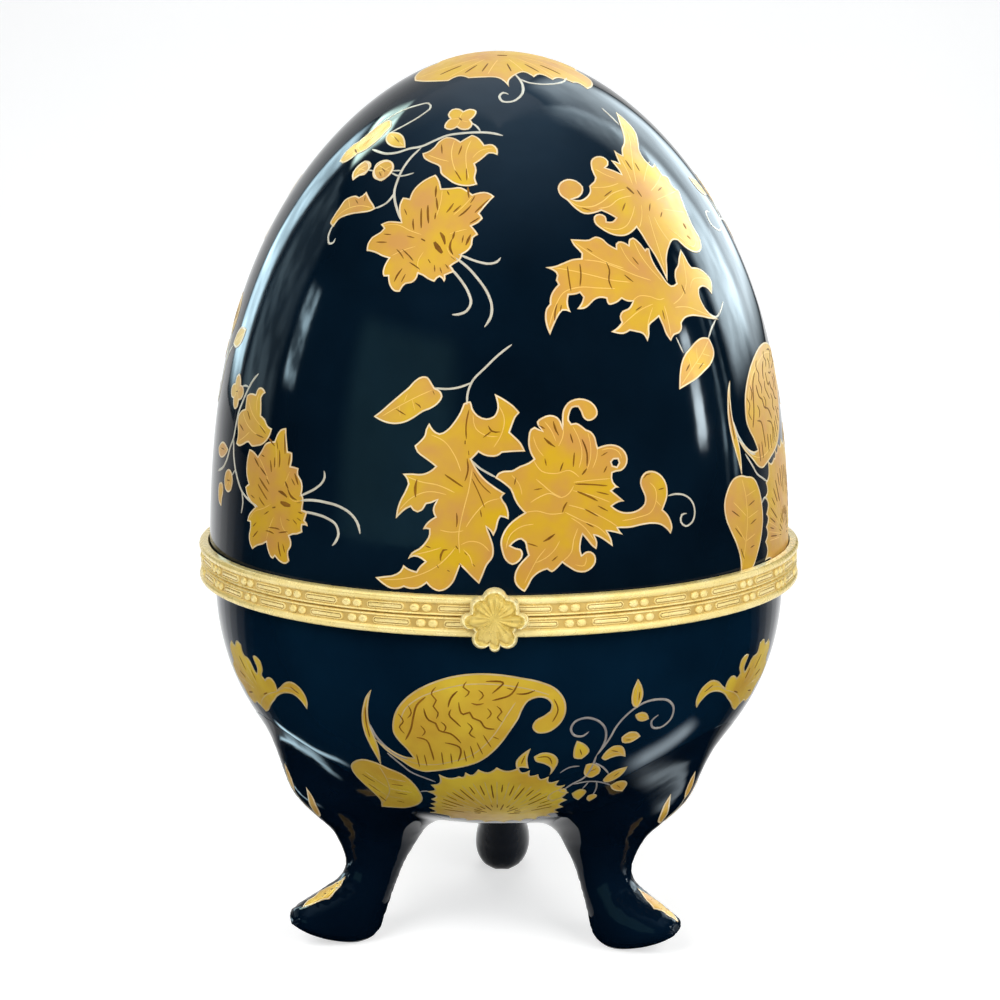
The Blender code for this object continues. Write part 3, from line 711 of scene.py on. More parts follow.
def soft_patch(tree, sides, ends):
    """A patch that fades at its edges. Each edge is where it lies, 0 or 1, and how far the fade runs in."""
    place = tree.nodes.new("ShaderNodeTexCoord")
    split = tree.nodes.new("ShaderNodeSeparateXYZ")
    tree.links.new(place.outputs["UV"], split.inputs[0])
    total = None
    for axis, edges in (("X", sides), ("Y", ends)):
        for edge, soft in edges:
            inside = 1 - soft if edge else soft
            along = split.outputs[axis]
            fade = wired(tree, "ShaderNodeMapRange", along, edge, inside, interpolation_type="SMOOTHSTEP")
            total = fade if total is None else times(tree, total, fade)
    return total


def gloss_sheet(name, rows, finish, receivers):
    """A sheet through rows of points. The receivers mirror it, and nothing else in the scene sees it."""
    bm = bmesh.new()
    uv = bm.loops.layers.uv.new("sheet")
    grid = [[bm.verts.new(point) for point in row] for row in rows]
    columns, last = len(rows[0]) - 1, len(rows) - 1
    for j in range(last):
        for i in range(columns):
            corners = ((i, j), (i + 1, j), (i + 1, j + 1), (i, j + 1))
            face = bm.faces.new([grid[b][a] for a, b in corners])
            for loop, (a, b) in zip(face.loops, corners):
                loop[uv].uv = (a / columns, b / last)
    made = from_bmesh(name, bm, finish)
    made.visible_camera = False
    made.visible_diffuse = False
    made.visible_transmission = False
    made.visible_shadow = False
    made.light_linking.receiver_collection = receivers


def window(
    name, azimuths, elevations, strength, colour, broken, receivers, sides=WINDOW_SIDES, ends=WINDOW_ENDS,
    distance=WINDOW_DISTANCE, clear=False,
):
    """A curved, soft-edged bright window on a sphere round the egg. A clear one adds to what lies behind it."""
    rows = []
    for j in range(WINDOW_STEPS + 1):
        elevation = math.radians(elevations[0] + (elevations[1] - elevations[0]) * j / WINDOW_STEPS)
        off, height = distance * math.cos(elevation), WINDOW_CENTRE + distance * math.sin(elevation)
        turns = [azimuths[0] + (azimuths[1] - azimuths[0]) * i / WINDOW_STEPS for i in range(WINDOW_STEPS + 1)]
        rows.append([around(turn, off, height) for turn in turns])
    finish, tree = bare_material(name)
    fade = soft_patch(tree, sides, ends)
    levels = (*WINDOW_NOISE_RANGE, strength * (1 - broken), strength)
    patch = wired(tree, "ShaderNodeMapRange", noise_of(tree, *WINDOW_NOISE), *levels)
    surface = emission(tree, colour, times(tree, fade, patch))
    if clear:
        surface = wired(tree, "ShaderNodeAddShader", surface, wired(tree, "ShaderNodeBsdfTransparent"))
    surfaced(tree, surface)
    gloss_sheet(name, rows, finish, receivers)


def floor_glow(name, path, half_width, strength, colour, receivers):
    middle = [Vector((x * MM, y * MM, FLOOR_GLOW_HEIGHT)) for x, y in path]
    rows = []
    for i, point in enumerate(middle):
        along = (middle[min(i + 1, len(middle) - 1)] - middle[max(i - 1, 0)]).normalized()
        side = Vector((-along.y, along.x, 0)) * (half_width * MM)
        rows.append((point + side, point - side))
    finish, tree = bare_material(name)
    fade = soft_patch(tree, FLOOR_GLOW_SIDES, FLOOR_GLOW_ENDS)
    surfaced(tree, emission(tree, colour, times(tree, fade, strength)))
    gloss_sheet(name, rows, finish, receivers)


def sheen_dome(name, receivers):
    """A soft white half dome over the floor in front of the egg. The brass mirrors it and the glaze doesn't."""
    profile = [(DOME_HOLE, DOME_HEIGHT), (DOME_RADIUS, DOME_HEIGHT)]
    for k in range(1, DOME_STEPS + 1):
        a = math.radians(DOME_TOP * k / DOME_STEPS)
        profile.append((DOME_RADIUS * math.cos(a), DOME_HEIGHT + DOME_RADIUS * math.sin(a)))
    turns = [DOME_HALF_TURN * (2 * k / DOME_SIDES - 1) for k in range(DOME_SIDES + 1)]
    rows = [[around(turn, distance, height) for turn in turns] for distance, height in profile]
    finish, tree = bare_material(name)
    open_sides = soft_patch(tree, DOME_SIDE_FADE, ())
    fade = soft_patch(tree, (), DOME_TOP_FADE)
    glow = emission(tree, (1, 1, 1), times(tree, fade, DOME_STRENGTH))
    clear = wired(tree, "ShaderNodeBsdfTransparent")
    surfaced(tree, wired(tree, "ShaderNodeMixShader", open_sides, clear, glow))
    gloss_sheet(name, rows, finish, receivers)


def make_windows(glazed, metal):
    """Windows and glows for the glazed pieces, and a soft sheen from the front for the brass."""
    groups = {}
    for name, pieces in (("glazed", glazed), ("metal", metal)):
        groups[name] = bpy.data.collections.new(f"{name}_pieces")
        for piece in pieces:
            groups[name].objects.link(piece)
    for *facts, settings in WINDOWS:
        window(*facts, groups["glazed"], **settings)
    for facts in FLOOR_GLOWS:
        floor_glow(*facts, groups["glazed"])
    sheen_dome("sheen_dome", groups["metal"])


def rim_profile(porcelain_radius, porcelain_wall):
    """The CAD's stamped channel as (radius, distance from the seam), with its two rolled edges fully round."""
    face = FIT_GAP / 2
    touch = porcelain_radius + FIT_GAP
    lip_outside = porcelain_radius - porcelain_wall - FIT_GAP
    lip_inside = lip_outside - RIM_SHEET
    roll = ROLL_HEIGHT / 2
    points = [(touch, RIM_HEIGHT)]
    for degrees in ROLL_ARC:
        a = math.radians(degrees)
        points.append((RIM_RADIUS - roll + roll * math.cos(a), RIM_HEIGHT - roll + roll * math.sin(a)))
    points.append((BAND_RADIUS, RIM_HEIGHT - ROLL_HEIGHT))
    half = SEAM_BEAD_HEIGHT / 2
    for degrees in SEAM_BEAD_ARC:
        a = math.radians(degrees)
        points.append((BAND_RADIUS + SEAM_BEAD_PROUD * math.cos(a), face + half + half * math.sin(a)))
    points += [
        (lip_inside, face),
        (lip_inside, face + RIM_SHEET + LIP_HEIGHT),
        (lip_outside, face + RIM_SHEET + LIP_HEIGHT),
        (lip_outside, face + RIM_SHEET),
        (BAND_RADIUS - RIM_SHEET, face + RIM_SHEET),
        (BAND_RADIUS - RIM_SHEET, RIM_HEIGHT - RIM_SHEET),
        (touch, RIM_HEIGHT - RIM_SHEET),
    ]
    return points


def pattern_ring(bm, azimuth, side, half, inset, rise, square, sides):
    """One level of a stamped form on the band, square 0 for an oval and 1 for a bar with round ends."""
    wide, tall = half[0] - inset, half[1] - inset
    straight = (wide - tall) * square
    ring = []
    for a in circle(sides, 0.5):
        x = (wide - straight) * math.cos(a) + math.copysign(straight, math.cos(a))
        turn = azimuth + x / BAND_RADIUS
        r = BAND_RADIUS + rise
        z = SEAM + side * (BAND_MIDDLE + tall * math.sin(a))
        ring.append(bm.verts.new((r * math.sin(turn), -r * math.cos(turn), z)))
    return ring


def stamp(bm, levels, groove=None):
    """Skins the levels of one stamped form. Faces of the engraved line take the second finish, darker brass as
    painted shade.
    """
    for step, (one, two) in enumerate(zip(levels, levels[1:])):
        for k in range(len(one)):
            m = (k + 1) % len(one)
            face = bm.faces.new((one[k], one[m], two[m], two[k]))
            face.material_index = 1 if groove and groove[0] <= step < groove[1] else 0
    bm.faces.new(levels[-1])
    bm.faces.new(levels[0][::-1])


def make_rim(name, porcelain_radius, porcelain_wall, side, pattern_turn):
    bm = bmesh.new()
    profile = [(r, SEAM + side * s) for r, s in rim_profile(porcelain_radius, porcelain_wall)]
    skin(bm, lathe(bm, profile), closed=True)
    # The band between the stamped forms takes the second finish, darker brass as painted shade in the recess
    for face in bm.faces:
        r = math.hypot(*face.calc_center_median()[:2])
        face.material_index = 1 if abs(r - BAND_RADIUS) < BAND_NEAR else 0
    for group in range(GROUP_COUNT):
        middle = math.radians(pattern_turn) + 2 * math.pi * group / GROUP_COUNT
        for shift in (-0.5, 0.5):
            azimuth = middle + shift * BEAD_APART / BAND_RADIUS
            levels = [pattern_ring(bm, azimuth, side, BEAD_HALF, 0, STAMP_SINK, 0, BEAD_SIDES)]
            for degrees in BEAD_LEVELS:
                a = math.radians(degrees)
                half = (BEAD_HALF[0] * math.cos(a), BEAD_HALF[1] * math.cos(a))
                rise = BEAD_FOOT + (BEAD_RISE - BEAD_FOOT) * math.sin(a)
                levels.append(pattern_ring(bm, azimuth, side, half, 0, rise, 0, BEAD_SIDES))
            stamp(bm, levels)
        azimuth = middle + math.pi / GROUP_COUNT
        levels = [pattern_ring(bm, azimuth, side, BAR_HALF, *step, 1, BAR_SIDES) for step in BAR_STEPS]
        stamp(bm, levels, BAR_GROOVE)
    return from_bmesh(name, bm, RIM_BRASS, RIM_PAINTED_SHADE, smooth_angle=35)


def ornament_reach(angle):
    """How far the clasp's lobed outline reaches from its middle at an angle."""
    reach = ORNAMENT_BODY
    for degrees, distance, radius in ORNAMENT_LOBES:
        off = angle - math.radians(degrees)
        sideways = distance * math.sin(off)
        if math.cos(off) > 0 and abs(sideways) < radius:
            reach = max(reach, distance * math.cos(off) + math.sqrt(radius**2 - sideways**2))
    return reach


def lobe_share(angle):
    """0 on the ridge of a lobe and 1 in the valley to the next one."""
    ridges = sorted(math.radians(degrees) % (2 * math.pi) for degrees, _, _ in ORNAMENT_LOBES)
    angle = angle % (2 * math.pi)
    below = max([r for r in ridges if r <= angle], default=ridges[-1] - 2 * math.pi)
    above = min([r for r in ridges if r > angle], default=ridges[0] + 2 * math.pi)
    share = (angle - below) / (above - below)
    return 1 - abs(2 * share - 1)


def hump(share, height, middle, spread, sway=0):
    return height * math.exp(-(((share - middle - sway) / spread) ** 2))


def ornament_rise(share, angle):
    """The stamped shell's height off its back: a domed body, a fan of ribs and a cupped, bent-up edge."""
    lobe = lobe_share(angle)
    body = ORNAMENT_EDGE_RISE * math.sqrt(max(1 - share**8, 0)) + ORNAMENT_CROWN * (1 - share**2)
    valley = -ORNAMENT_VALLEY * max(share - 0.5, 0) * lobe**6
    rib = math.cos(angle * ORNAMENT_RIBS)
    ribs = hump(share, *ORNAMENT_RIB) * rib
    lip = hump(share, *ORNAMENT_LIP) * (1 + ORNAMENT_LIP_WAVE * math.cos(angle * 2 * ORNAMENT_RIBS))
    cup = hump(share, *ORNAMENT_CUP, ORNAMENT_CUP_SWAY * rib)
    return body + valley + ribs + lip + cup


def scroll(bm, middle, start, hand):
    """A raised scroll on the clasp, as a round wire that winds in."""
    rings = []
    for i in range(SCROLL_STEPS + 1):
        t = i / SCROLL_STEPS
        a = start + hand * 2 * math.pi * SCROLL_TURNS * t
        r = SCROLL_RADIUS * (1 - SCROLL_WIND * t)
        centre = Vector((middle[0] + r * math.cos(a), -ORNAMENT_BACK - SCROLL_RISE, middle[1] + r * math.sin(a)))
        outward = Vector((math.cos(a), 0, math.sin(a)))
        size = SCROLL_THICK * (1 - SCROLL_THIN * t) * min(SCROLL_TIP[0] + SCROLL_TIP[1] * t, 1)
        ring = []
        for b in circle(SCROLL_SIDES):
            ring.append(bm.verts.new(centre + outward * size * math.cos(b) + Vector((0, -size * math.sin(b), 0))))
        rings.append(ring)
    skin(bm, rings)
    bm.faces.new(rings[0][::-1])
    bm.faces.new(rings[-1])


def make_ornament():
    middle = SEAM + CLASP_RISE

    def ring(share, rise_of, inset=0.0):
        made = []
        for angle in circle(ORNAMENT_SIDES):
            reach = ornament_reach(angle) * share - inset
            spot = (reach * math.cos(angle), -ORNAMENT_BACK - rise_of(share, angle), middle + reach * math.sin(angle))
            made.append(bm.verts.new(spot))
        return made

    bm = bmesh.new()
    peak = bm.verts.new((0, -ORNAMENT_BACK - ornament_rise(0, ORNAMENT_PEAK_ANGLE), middle))
    shares = [(i / ORNAMENT_RINGS) ** ORNAMENT_RING_POWER for i in range(1, ORNAMENT_RINGS)]
    levels = [ring(share, ornament_rise) for share in shares]
    levels.append(ring(1, lambda share, angle: ORNAMENT_FACE_RISE))
    levels.append(ring(1, lambda share, angle: 0))
    levels.append(ring(1, lambda share, angle: 0, ORNAMENT_WALL))
    levels.append(ring(1, lambda share, angle: ORNAMENT_POCKET, ORNAMENT_WALL))
    floor_middle = bm.verts.new((0, -ORNAMENT_BACK - ORNAMENT_POCKET, middle))
    skin(bm, [[peak], *levels, [floor_middle]])
    for sideways, hand, start in SCROLLS:
        scroll(bm, (sideways, middle - SCROLL_DROP), math.radians(start), hand)
    made = from_bmesh("clasp_shell", bm, CLASP_BRASS, CLASP_PAINTED_HIGHLIGHT, smooth_angle=50)
    # Faces near the outline, on the front, take the paler second finish: a painted highlight along the clasp's edge
    for face in made.data.polygons:
        x, y, z = face.center
        share = math.hypot(x, z - middle) / ornament_reach(math.atan2(z - middle, x))
        face.material_index = int(share > ORNAMENT_HIGHLIGHT_SHARE and y < -ORNAMENT_BACK)
    return made


# The gold motifs, in mm on the plane that touches the egg at a motif's place: x to the right, y up.
# A row of an outline starts at a corner and bends smoothly to the next row's corner. A single row closes
# smoothly on itself. A line is its width and the points it runs through.


def lines(width, *paths):
    """Lines of one width."""
    return tuple((width, *path) for path in paths)


ACANTHUS = (
    (3.7, 9.8, 3.2, 8.4, 2.2, 6.7, 1, 5.3, -0.2, 4.7, -1.3, 5.3), (-2, 6.4, -2.6, 5.3, -2.8, 4.3, -3.4, 3.5),
    (-4.5, 2.5, -4, 1.4, -2.8, 0.5, -1.6, -0.3), (-0.8, -0.9, -1.6, -1.6, -3, -2.2, -4.8, -2.2),
    (-6.5, -2.3, -5.7, -3.3), (-5.5, -4, -6.1, -5.4, -6.9, -6.9, -7.4, -8.4), (-7.6, -10, -6.6, -9, -5.8, -8.3),
    (-5, -7.9, -4.5, -8.5, -3.7, -8.8, -2.9, -8.4, -2.4, -7.6), (-2.2, -7.3, -1.3, -7.1),
    (-0.4, -6.6, -0.9, -7.4, -1.1, -8.3), (-0.7, -9.4, -1.6, -10, -2.3, -10.7), (-2.8, -11.6, -2.2, -11.5),
    (-1.7, -11.6, -1.7, -12.4, -2.5, -13.9, -3.5, -14.9, -4.7, -15.6), (-5.4, -16.8, -4.3, -16.3, -3.1, -16.6),
    (-2.4, -17.1, -3.3, -17.9), (-3.9, -18.8, -5.3, -18.4), (-6.2, -17.8, -6.8, -18.9, -8, -19.6, -9.6, -19.9),
    (-11.3, -20.2, -9.9, -21.3, -8.5, -22, -7.1, -22), (-6.1, -21.6, -4.9, -21.9, -3.5, -21.7),
    (-2.1, -20.8, -1.1, -21.7, 0.1, -22.1, 1.3, -21.7, 2.5, -20.5, 3.3, -18.6), (3.7, -17.5, 4.6, -18.4, 5.7, -19.5),
    (6.9, -20.6, 7.6, -18.9, 8.2, -17.4, 9.2, -15.9, 9.3, -14.4, 8.8, -12.6), (8.1, -10.9, 8.6, -11.4),
    (9.2, -12.4, 9.8, -11, 10.1, -9.6), (10.4, -9.1, 11, -9.2), (11.7, -9.5, 11.7, -8.3, 11.2, -6.9, 10.5, -5.8),
    (11.1, -5.1, 9.3, -4, 7.5, -2.6, 6.2, -1), (5.4, 0.5, 5.9, 1), (6.5, 1.7, 7.4, 1.2, 8.4, 1, 9.6, 1.1),
    (10.4, 1.7, 12.4, 1.9), (14.2, 2, 13.4, 3.5, 12.4, 4.5), (11.6, 5.2, 12, 6.4, 12.4, 7.6),
    (13.1, 8.5, 12.2, 9.5, 10.5, 10.7),
    (8.8, 11.6, 9.2, 10.4, 9.4, 9.2, 8.8, 7.8, 7.6, 7.4, 6.2, 7.9, 5.3, 9, 4.9, 10.2),
)
ACANTHUS_BUD_LEAF = (
    (-12, 7.2, -10.8, 8.1, -9.3, 9.4, -7.2, 11.2, -5.9, 12.3, -4.8, 13.5, -3.6, 14.2, -2.6, 14.1, -1.9, 13.2),
    (-1.3, 12.3, -0.3, 11.8, 0.1, 10.9, -0.4, 9.9, -1.6, 8.9, -3.2, 8.2, -4.8, 7.1, -6.4, 6.3, -8.4, 6, -10.4, 6.4),
)
ACANTHUS_SPRAY = {
    "gold": (ACANTHUS, ACANTHUS_BUD_LEAF),
    "stems": (
        (0.42, 11.3, 19.9, 9.2, 18.1, 7.1, 15.9, 5, 13.5, 4.4, 11.8, 4.3, 9.6),
        (0.4, 5, 13.4, 3.2, 12.6, 1.2, 12.2, -1.4, 12.3), (0.4, 5, 0.6, 6.8, -1, 8.2, -1.8, 9.6, -2.5),
    ),
    "veins": (
        (0.2, 9.6, 9.6, 10.6, 7.4, 10.2, 4.8, 9, 2.6), (0.18, 5.4, 8, 6, 5.6, 7.5, 4.6, 9.6, 4.4),
        (0.2, -1.6, 4.4, 0.6, 3.4, 2.4, 1.2, 3.6, -1.6), (0.2, -5.6, -2.8, -3, -3.6, -0.4, -4, 2.6, -5.2),
        (0.18, -6.9, -8.4, -4.6, -6.2, -2, -5.2, 1.2, -5.6), (0.2, 5.5, -1, 5, -4.6, 4, -8.8, 3.4, -12.6, 3.6, -15.4),
        (0.18, 10.2, -6, 8.2, -6.6, 6.2, -8.6, 4.6, -11), (0.18, 8.6, -15, 7, -13.6, 5.2, -13.4, 3.8, -14),
        (0.2, -9.6, -20.5, -6.4, -20.2, -3.4, -19.4, 0.2, -17.4, 2.8, -14.6),
        (0.18, 0.2, -11.6, 2, -11.9, 4.2, -11.6), (0.18, 4.2, -14.8, 5.2, -15.8, 5.8, -17.6),
        (0.16, -4.4, -16, -2, -15.4, 0.4, -14.6), (0.16, -10.4, 7.3, -7.2, 9.2, -4.2, 10.8, -1.8, 11.9),
        *lines(0.12, (-7.4, 9.2, -7.2, 7.4), (-5.2, 10.4, -4.6, 8.4), (-6.6, 9.8, -6, 11.2)),
    ),
    "marks": (
        (0.24, 4.7, 8.8, 4.3, 6.4, 4.4, 3.9), (0.6, 4.2, 3.6, 4.2, 3), (0.45, 4.8, 1.9, 4.9, 1.2),
        (0.26, 4.6, 0.6, 4.8, -1.4, 4.3, -3.2), (0.34, 0.9, -2.2, 2.4, -3.2, 4, -4.2),
        (0.28, 8, 6.2, 8.6, 5.3, 10, 5.2), (0.24, 8.6, 5.3, 7.2, 4.2), (0.2, 5.7, -1.6, 7, -3.6, 8.7, -5.2),
        (0.2, 5.5, -2.8, 6.6, -5, 7.7, -7.6), (0.24, 3, -8.6, 3.1, -9.8, 3, -11), (0.26, 7, -8, 7.2, -9.2),
        (0.4, 1.5, -14.9, 0.8, -15, 0.4, -15.8, 0.3, -16.8), (0.55, 2.9, -14.2, 3.3, -14.7),
        (0.5, 4.4, -15.3, 4.8, -15.7), (0.45, 5.8, -17.2, 6.2, -17.6), (0.7, 3.5, -17.2, 3.9, -17.6),
        (0.38, 1.5, -18.4, 1.9, -18.6), (0.34, -0.3, -17.6, 0, -18.1), (0.5, -3.9, -3.2, -4.2, -4.6, -4.1, -6.2),
        (0.3, -2.3, -14.4, -1.4, -14.7), (0.4, -1.6, 11.8, -1.3, 11.2), (0.3, -4.6, 9.7, -3.9, 9.3, -3.6, 8.9),
        (0.2, -8, 8.6, -6.2, 7.6),
    ),
}

PEONY = (
    (-15.7, 0.6, -15.2, 1.4, -14.2, 1.8, -13, 1.8, -11.6, 2.5, -10.2, 3),
    (-9.3, 3.6, -9.8, 4.6, -10.1, 6, -10, 7.4, -9.6, 8.6, -8.9, 9, -8.2, 8.6),
    (-7.7, 8.3, -8.2, 8.9, -8.5, 9.8, -7.6, 10.5, -6.2, 10.9, -5, 10.5, -4.4, 9.7),
    (
        -4.2, 8.6, -4.2, 10.2, -3.9, 11.7, -3.1, 12.8, -1.8, 13.4, -0.3, 13.4, 1.1, 12.8, 2, 11.7, 2.1, 10.6, 1.3,
        9.8, 0.3, 9.6, -0.5, 10.2, -0.8, 11.1,
    ),
    (-1.3, 12, -2.3, 11.9, -2.8, 11, -3, 9.9), (-2.6, 9.3, -1.8, 9.4, -0.9, 8.9),
    (-0.1, 8.2, 0.8, 7.8, 1.5, 6.8, 1.7, 5.8),
    (1.9, 5.1, 3, 5.4, 4.4, 5.5, 5.8, 5.1, 6.9, 4.1, 7.3, 2.8, 6.9, 1.6, 6, 0.9, 5, 0.8),
    (4.4, 0.6, 4.3, -0.2, 4.5, -0.9), (5.6, -1.9, 4.9, -1.9), (4.2, -2.4, 5.2, -3.2), (6.5, -4.3, 5.4, -4.4),
    (
        4.2, -5, 5, -5.6, 6.2, -6.1, 7.6, -6.2, 9.2, -5.8, 10.3, -4.9, 10.4, -3.8, 9.9, -2.6, 9.5, -1.4, 9.8, -0.3,
        10.7, 0.5, 12, 0.6, 13.4, 0, 14.4, -1.1, 14.9, -2.6, 14.8, -4.2, 14.3, -5.4,
    ),
    (13.9, -6.2, 14.8, -7, 15.5, -8.2, 15.8, -9.4),
    (15.4, -10.5, 14.6, -9.6, 13.4, -8.8, 11.8, -8.5, 9.6, -8.6, 7.4, -8.9), (5.2, -8.8, 5.6, -9.4),
    (6.1, -10, 4.8, -9.6), (3.2, -9.2, 3.9, -10.4), (4.2, -11.9, 3, -11, 1.8, -10.2), (0.9, -9.8, 1.4, -11),
    (1.2, -12.2, 0.4, -11.6, -0.4, -10.6), (-1.2, -9.6, -1.5, -10.8, -1.6, -12.2),
    (-1.4, -13, -0.7, -12.5, 0.2, -12.5, 1, -13.2, 1.1, -14.4, 0.4, -15.4, -0.8, -16, -2.2, -15.9, -3.6, -15.1),
    (-4.8, -14.2, -5.6, -15, -6.6, -15.7), (-7.4, -15.2, -8.8, -15.7, -10, -16.8, -10.6, -18),
    (-11.2, -18.9, -12.2, -18.2, -12.9, -17, -12.8, -15.6, -12.1, -14.2, -11.2, -13.2),
    (-10.6, -12.6, -10.9, -11.4, -11.1, -10.4, -11.7, -9.9, -12.6, -10.2),
    (
        -13.4, -10.9, -12.6, -11.3, -11.8, -11.5, -11.4, -12.4, -12, -13.6, -13.2, -14.2, -14.3, -13.4, -14.9, -11.8,
        -15.1, -10.2, -14.6, -8.6, -13.6, -7.2, -12.4, -6.2,
    ),
    (-11.1, -5.4, -12.1, -4.2, -12.8, -2.8, -13.3, -1.4, -14.2, -0.5),
)
PEONY_SPRAY = {
    "gold": (PEONY,),
    "stems": (
        (
            0.36, 15, -3.9, 16.6, -3.7, 18.4, -4, 20, -5.2, 20.6, -7, 20, -8.8, 18.6, -9.4, 17.6, -8.6, 17.8, -7.4,
            18.8, -7.2,
        ),
    ),
    "veins": (
        (0.22, -9, 0.2, -7.8, -0.9, -6.2, -2.3, -4.7, -3.1),
        (0.22, -10, -3.7, -8.4, -2.8, -6.8, -2.3, -4.7, -3.1, -3.4, -2.4, -2.6, -1.2),
        (0.2, -9.3, 3.4, -8, 1.5, -5.6, 1, -3.2, 1.4, -1.6, 0.2),
        *lines(
            0.18, (-13, 1, -11.8, -0.6, -11.4, -2.4), (-11.1, -5.4, -9, -5.2, -6.8, -5.8, -4.4, -5.7),
            (-2.4, 8.8, -1.4, 6.6, -1, 4, -1.6, 1.8),
        ),
        (0.16, 0.2, 7.6, 0.6, 5.4, 0.4, 3, -0.2, 1.4), (0.16, 1.8, 5.2, 1.6, 3.4, 0.8, 1.6),
        *lines(
            0.18, (-2.6, -0.6, 0.4, -0.4, 3.9, -0.3), (-2.8, -2, 0.6, -3, 3.8, -4.3),
            (-3.6, -4.4, 0, -5.6, 3.4, -7.4, 5.2, -8.6), (-4.2, -5.6, -1.2, -7.2, 1.8, -8.6, 3.4, -10.2),
            (-3.2, -6.6, -0.8, -8.4, 0.8, -10.6),
        ),
        (0.2, -2, -8.4, -2.8, -10.4, -3.2, -12.4, -4.8, -14), (0.18, -5.2, -10.4, -6.2, -12, -7.6, -13.2, -9.4, -14),
        (0.16, -11.2, -17.4, -10.2, -15.4, -8.8, -13, -7.6, -11.6),
        (0.18, -14.2, -11.4, -13.4, -9, -11.8, -7.8, -9.6, -7.4),
        (0.18, 6, -7.6, 9, -7.2, 11.6, -6.4, 12.6, -4.4, 12.4, -2.4, 11.4, -1.4), (0.16, 12.4, -4.4, 13.6, -5.6),
        (0.18, -9.2, 7.4, -8.6, 5.4, -7.6, 4), (0.18, -7.2, 9.8, -6.2, 8.4, -5.4, 6.4),
        (0.2, -4, 8.6, -4.2, 7.2, -5, 5.6), (0.18, 2.6, 4.6, 4.2, 4.8, 5.6, 4.2, 6.2, 3),
        (0.18, -0.6, -13.4, -0.9, -14.8, -2.6, -14.6),
    ),
    "marks": (
        (0.44, -8, -10.4, -7, -9.9, -6, -9.2), (0.4, -2, -2.2, -0.2, -3, 1.6, -4),
        (0.4, -4.7, -5.6, -4.4, -4.8, -3.8, -3.9), (0.5, -1.1, 0.6, -0.2, 1.6), (0.3, -0.2, 2, -0.1, 4.2, -0.9, 6.6),
        (0.26, -2.4, -0.9, 0.2, -1.1, 3.4, -1.5), (0.28, -0.8, -5.2, 0.6, -6, 1.6, -6.6),
        (0.26, 1.6, -4.8, 3.4, -5.8), (0.24, 1.4, -2.4, 3.6, -3),
        *lines(0.3, (-7.2, 2.4, -7.4, 3.6), (-4.9, 1.4, -4.3, 2.8), (-2.6, 2, -2.3, 4.4)), (0.4, 2.8, 0.8, 3.4, 1.8),
        (0.22, 2.4, 3.6, 3.6, 4.2), (0.45, -7.4, 7.1, -6.2, 5.9, -5.6, 5.5), (0.4, -5.7, 9.8, -5.3, 8.2, -4.9, 7.4),
        (0.35, -8.2, 9.2, -7.2, 8.6), (0.3, -2.9, 7.6, -2.5, 6), (0.22, -12.3, 0.6, -12.6, -0.6),
        (0.28, -9, -11.2, -10.6, -10.6), (0.3, 13.1, -2.7, 14.2, -2.5), (0.28, 10.2, -0.6, 10.8, 0, 11.6, 0.1),
        (0.24, -6.6, -13.8, -5.6, -13), (0.24, -0.6, -7.6, 0.8, -8.4), (0.22, -9.4, -1.6, -8, -1.4),
    ),
    "holes": ((4.7, 2.9, 5.4, 2.9, 5.6, 2.3, 5.2, 1.7, 4.5, 1.9, 4.3, 2.5),),
}

LOTUS = (
    (-2.6, 15.3, -2, 14.6), (-1.6, 13.9, -1.3, 13.1), (-1.1, 12.5, 0.5, 12.6, 2.3, 12.8, 3.5, 12.2),
    (4.5, 11.5, 5.7, 12, 7, 12.1), (8.3, 11.4, 7.5, 10.2, 6.7, 8.8), (6.2, 7.9, 6.6, 7.5), (6.9, 7, 6.2, 6.1),
    (5.2, 5.4, 5.9, 4.7), (6.5, 3.9, 5.7, 3.2, 5.7, 2, 5.2, 0.9), (4.2, 0.1, 3.9, -1, 3.1, -1.6),
    (2.5, -2.1, 2.9, -2.5), (3.2, -3.1, 2.3, -3.5), (1.7, -3.8, 1.8, -4.4), (1.6, -5, 0.7, -4.1),
    (-0.1, -5, -1.4, -4.5, -2.3, -3.9), (-3.1, -3.6, -3.4, -4.6, -4.1, -5.2, -5.2, -5.4),
    (-6.1, -6.75, -7.2, -6.6, -8.1, -5.6), (-8.6, -3.9, -9.4, -3.9, -9.7, -2.9, -9.4, -1.6),
    (-8.9, -0.6, -10.1, -0.2, -11.6, 0.6), (-13.3, 1.1, -13.3, 2.4, -12.5, 3.7, -11.2, 4.4), (-10.6, 5.1, -10.9, 5.5),
    (-11.3, 5.9, -10, 6.4, -8.6, 6.3), (-7.5, 6.1, -8.1, 7.9, -8.3, 9.5), (-7.9, 10.9, -7.2, 10.8),
    (-6.6, 10.6, -6.2, 12.2, -5.1, 13.7, -3.8, 14.7),
)
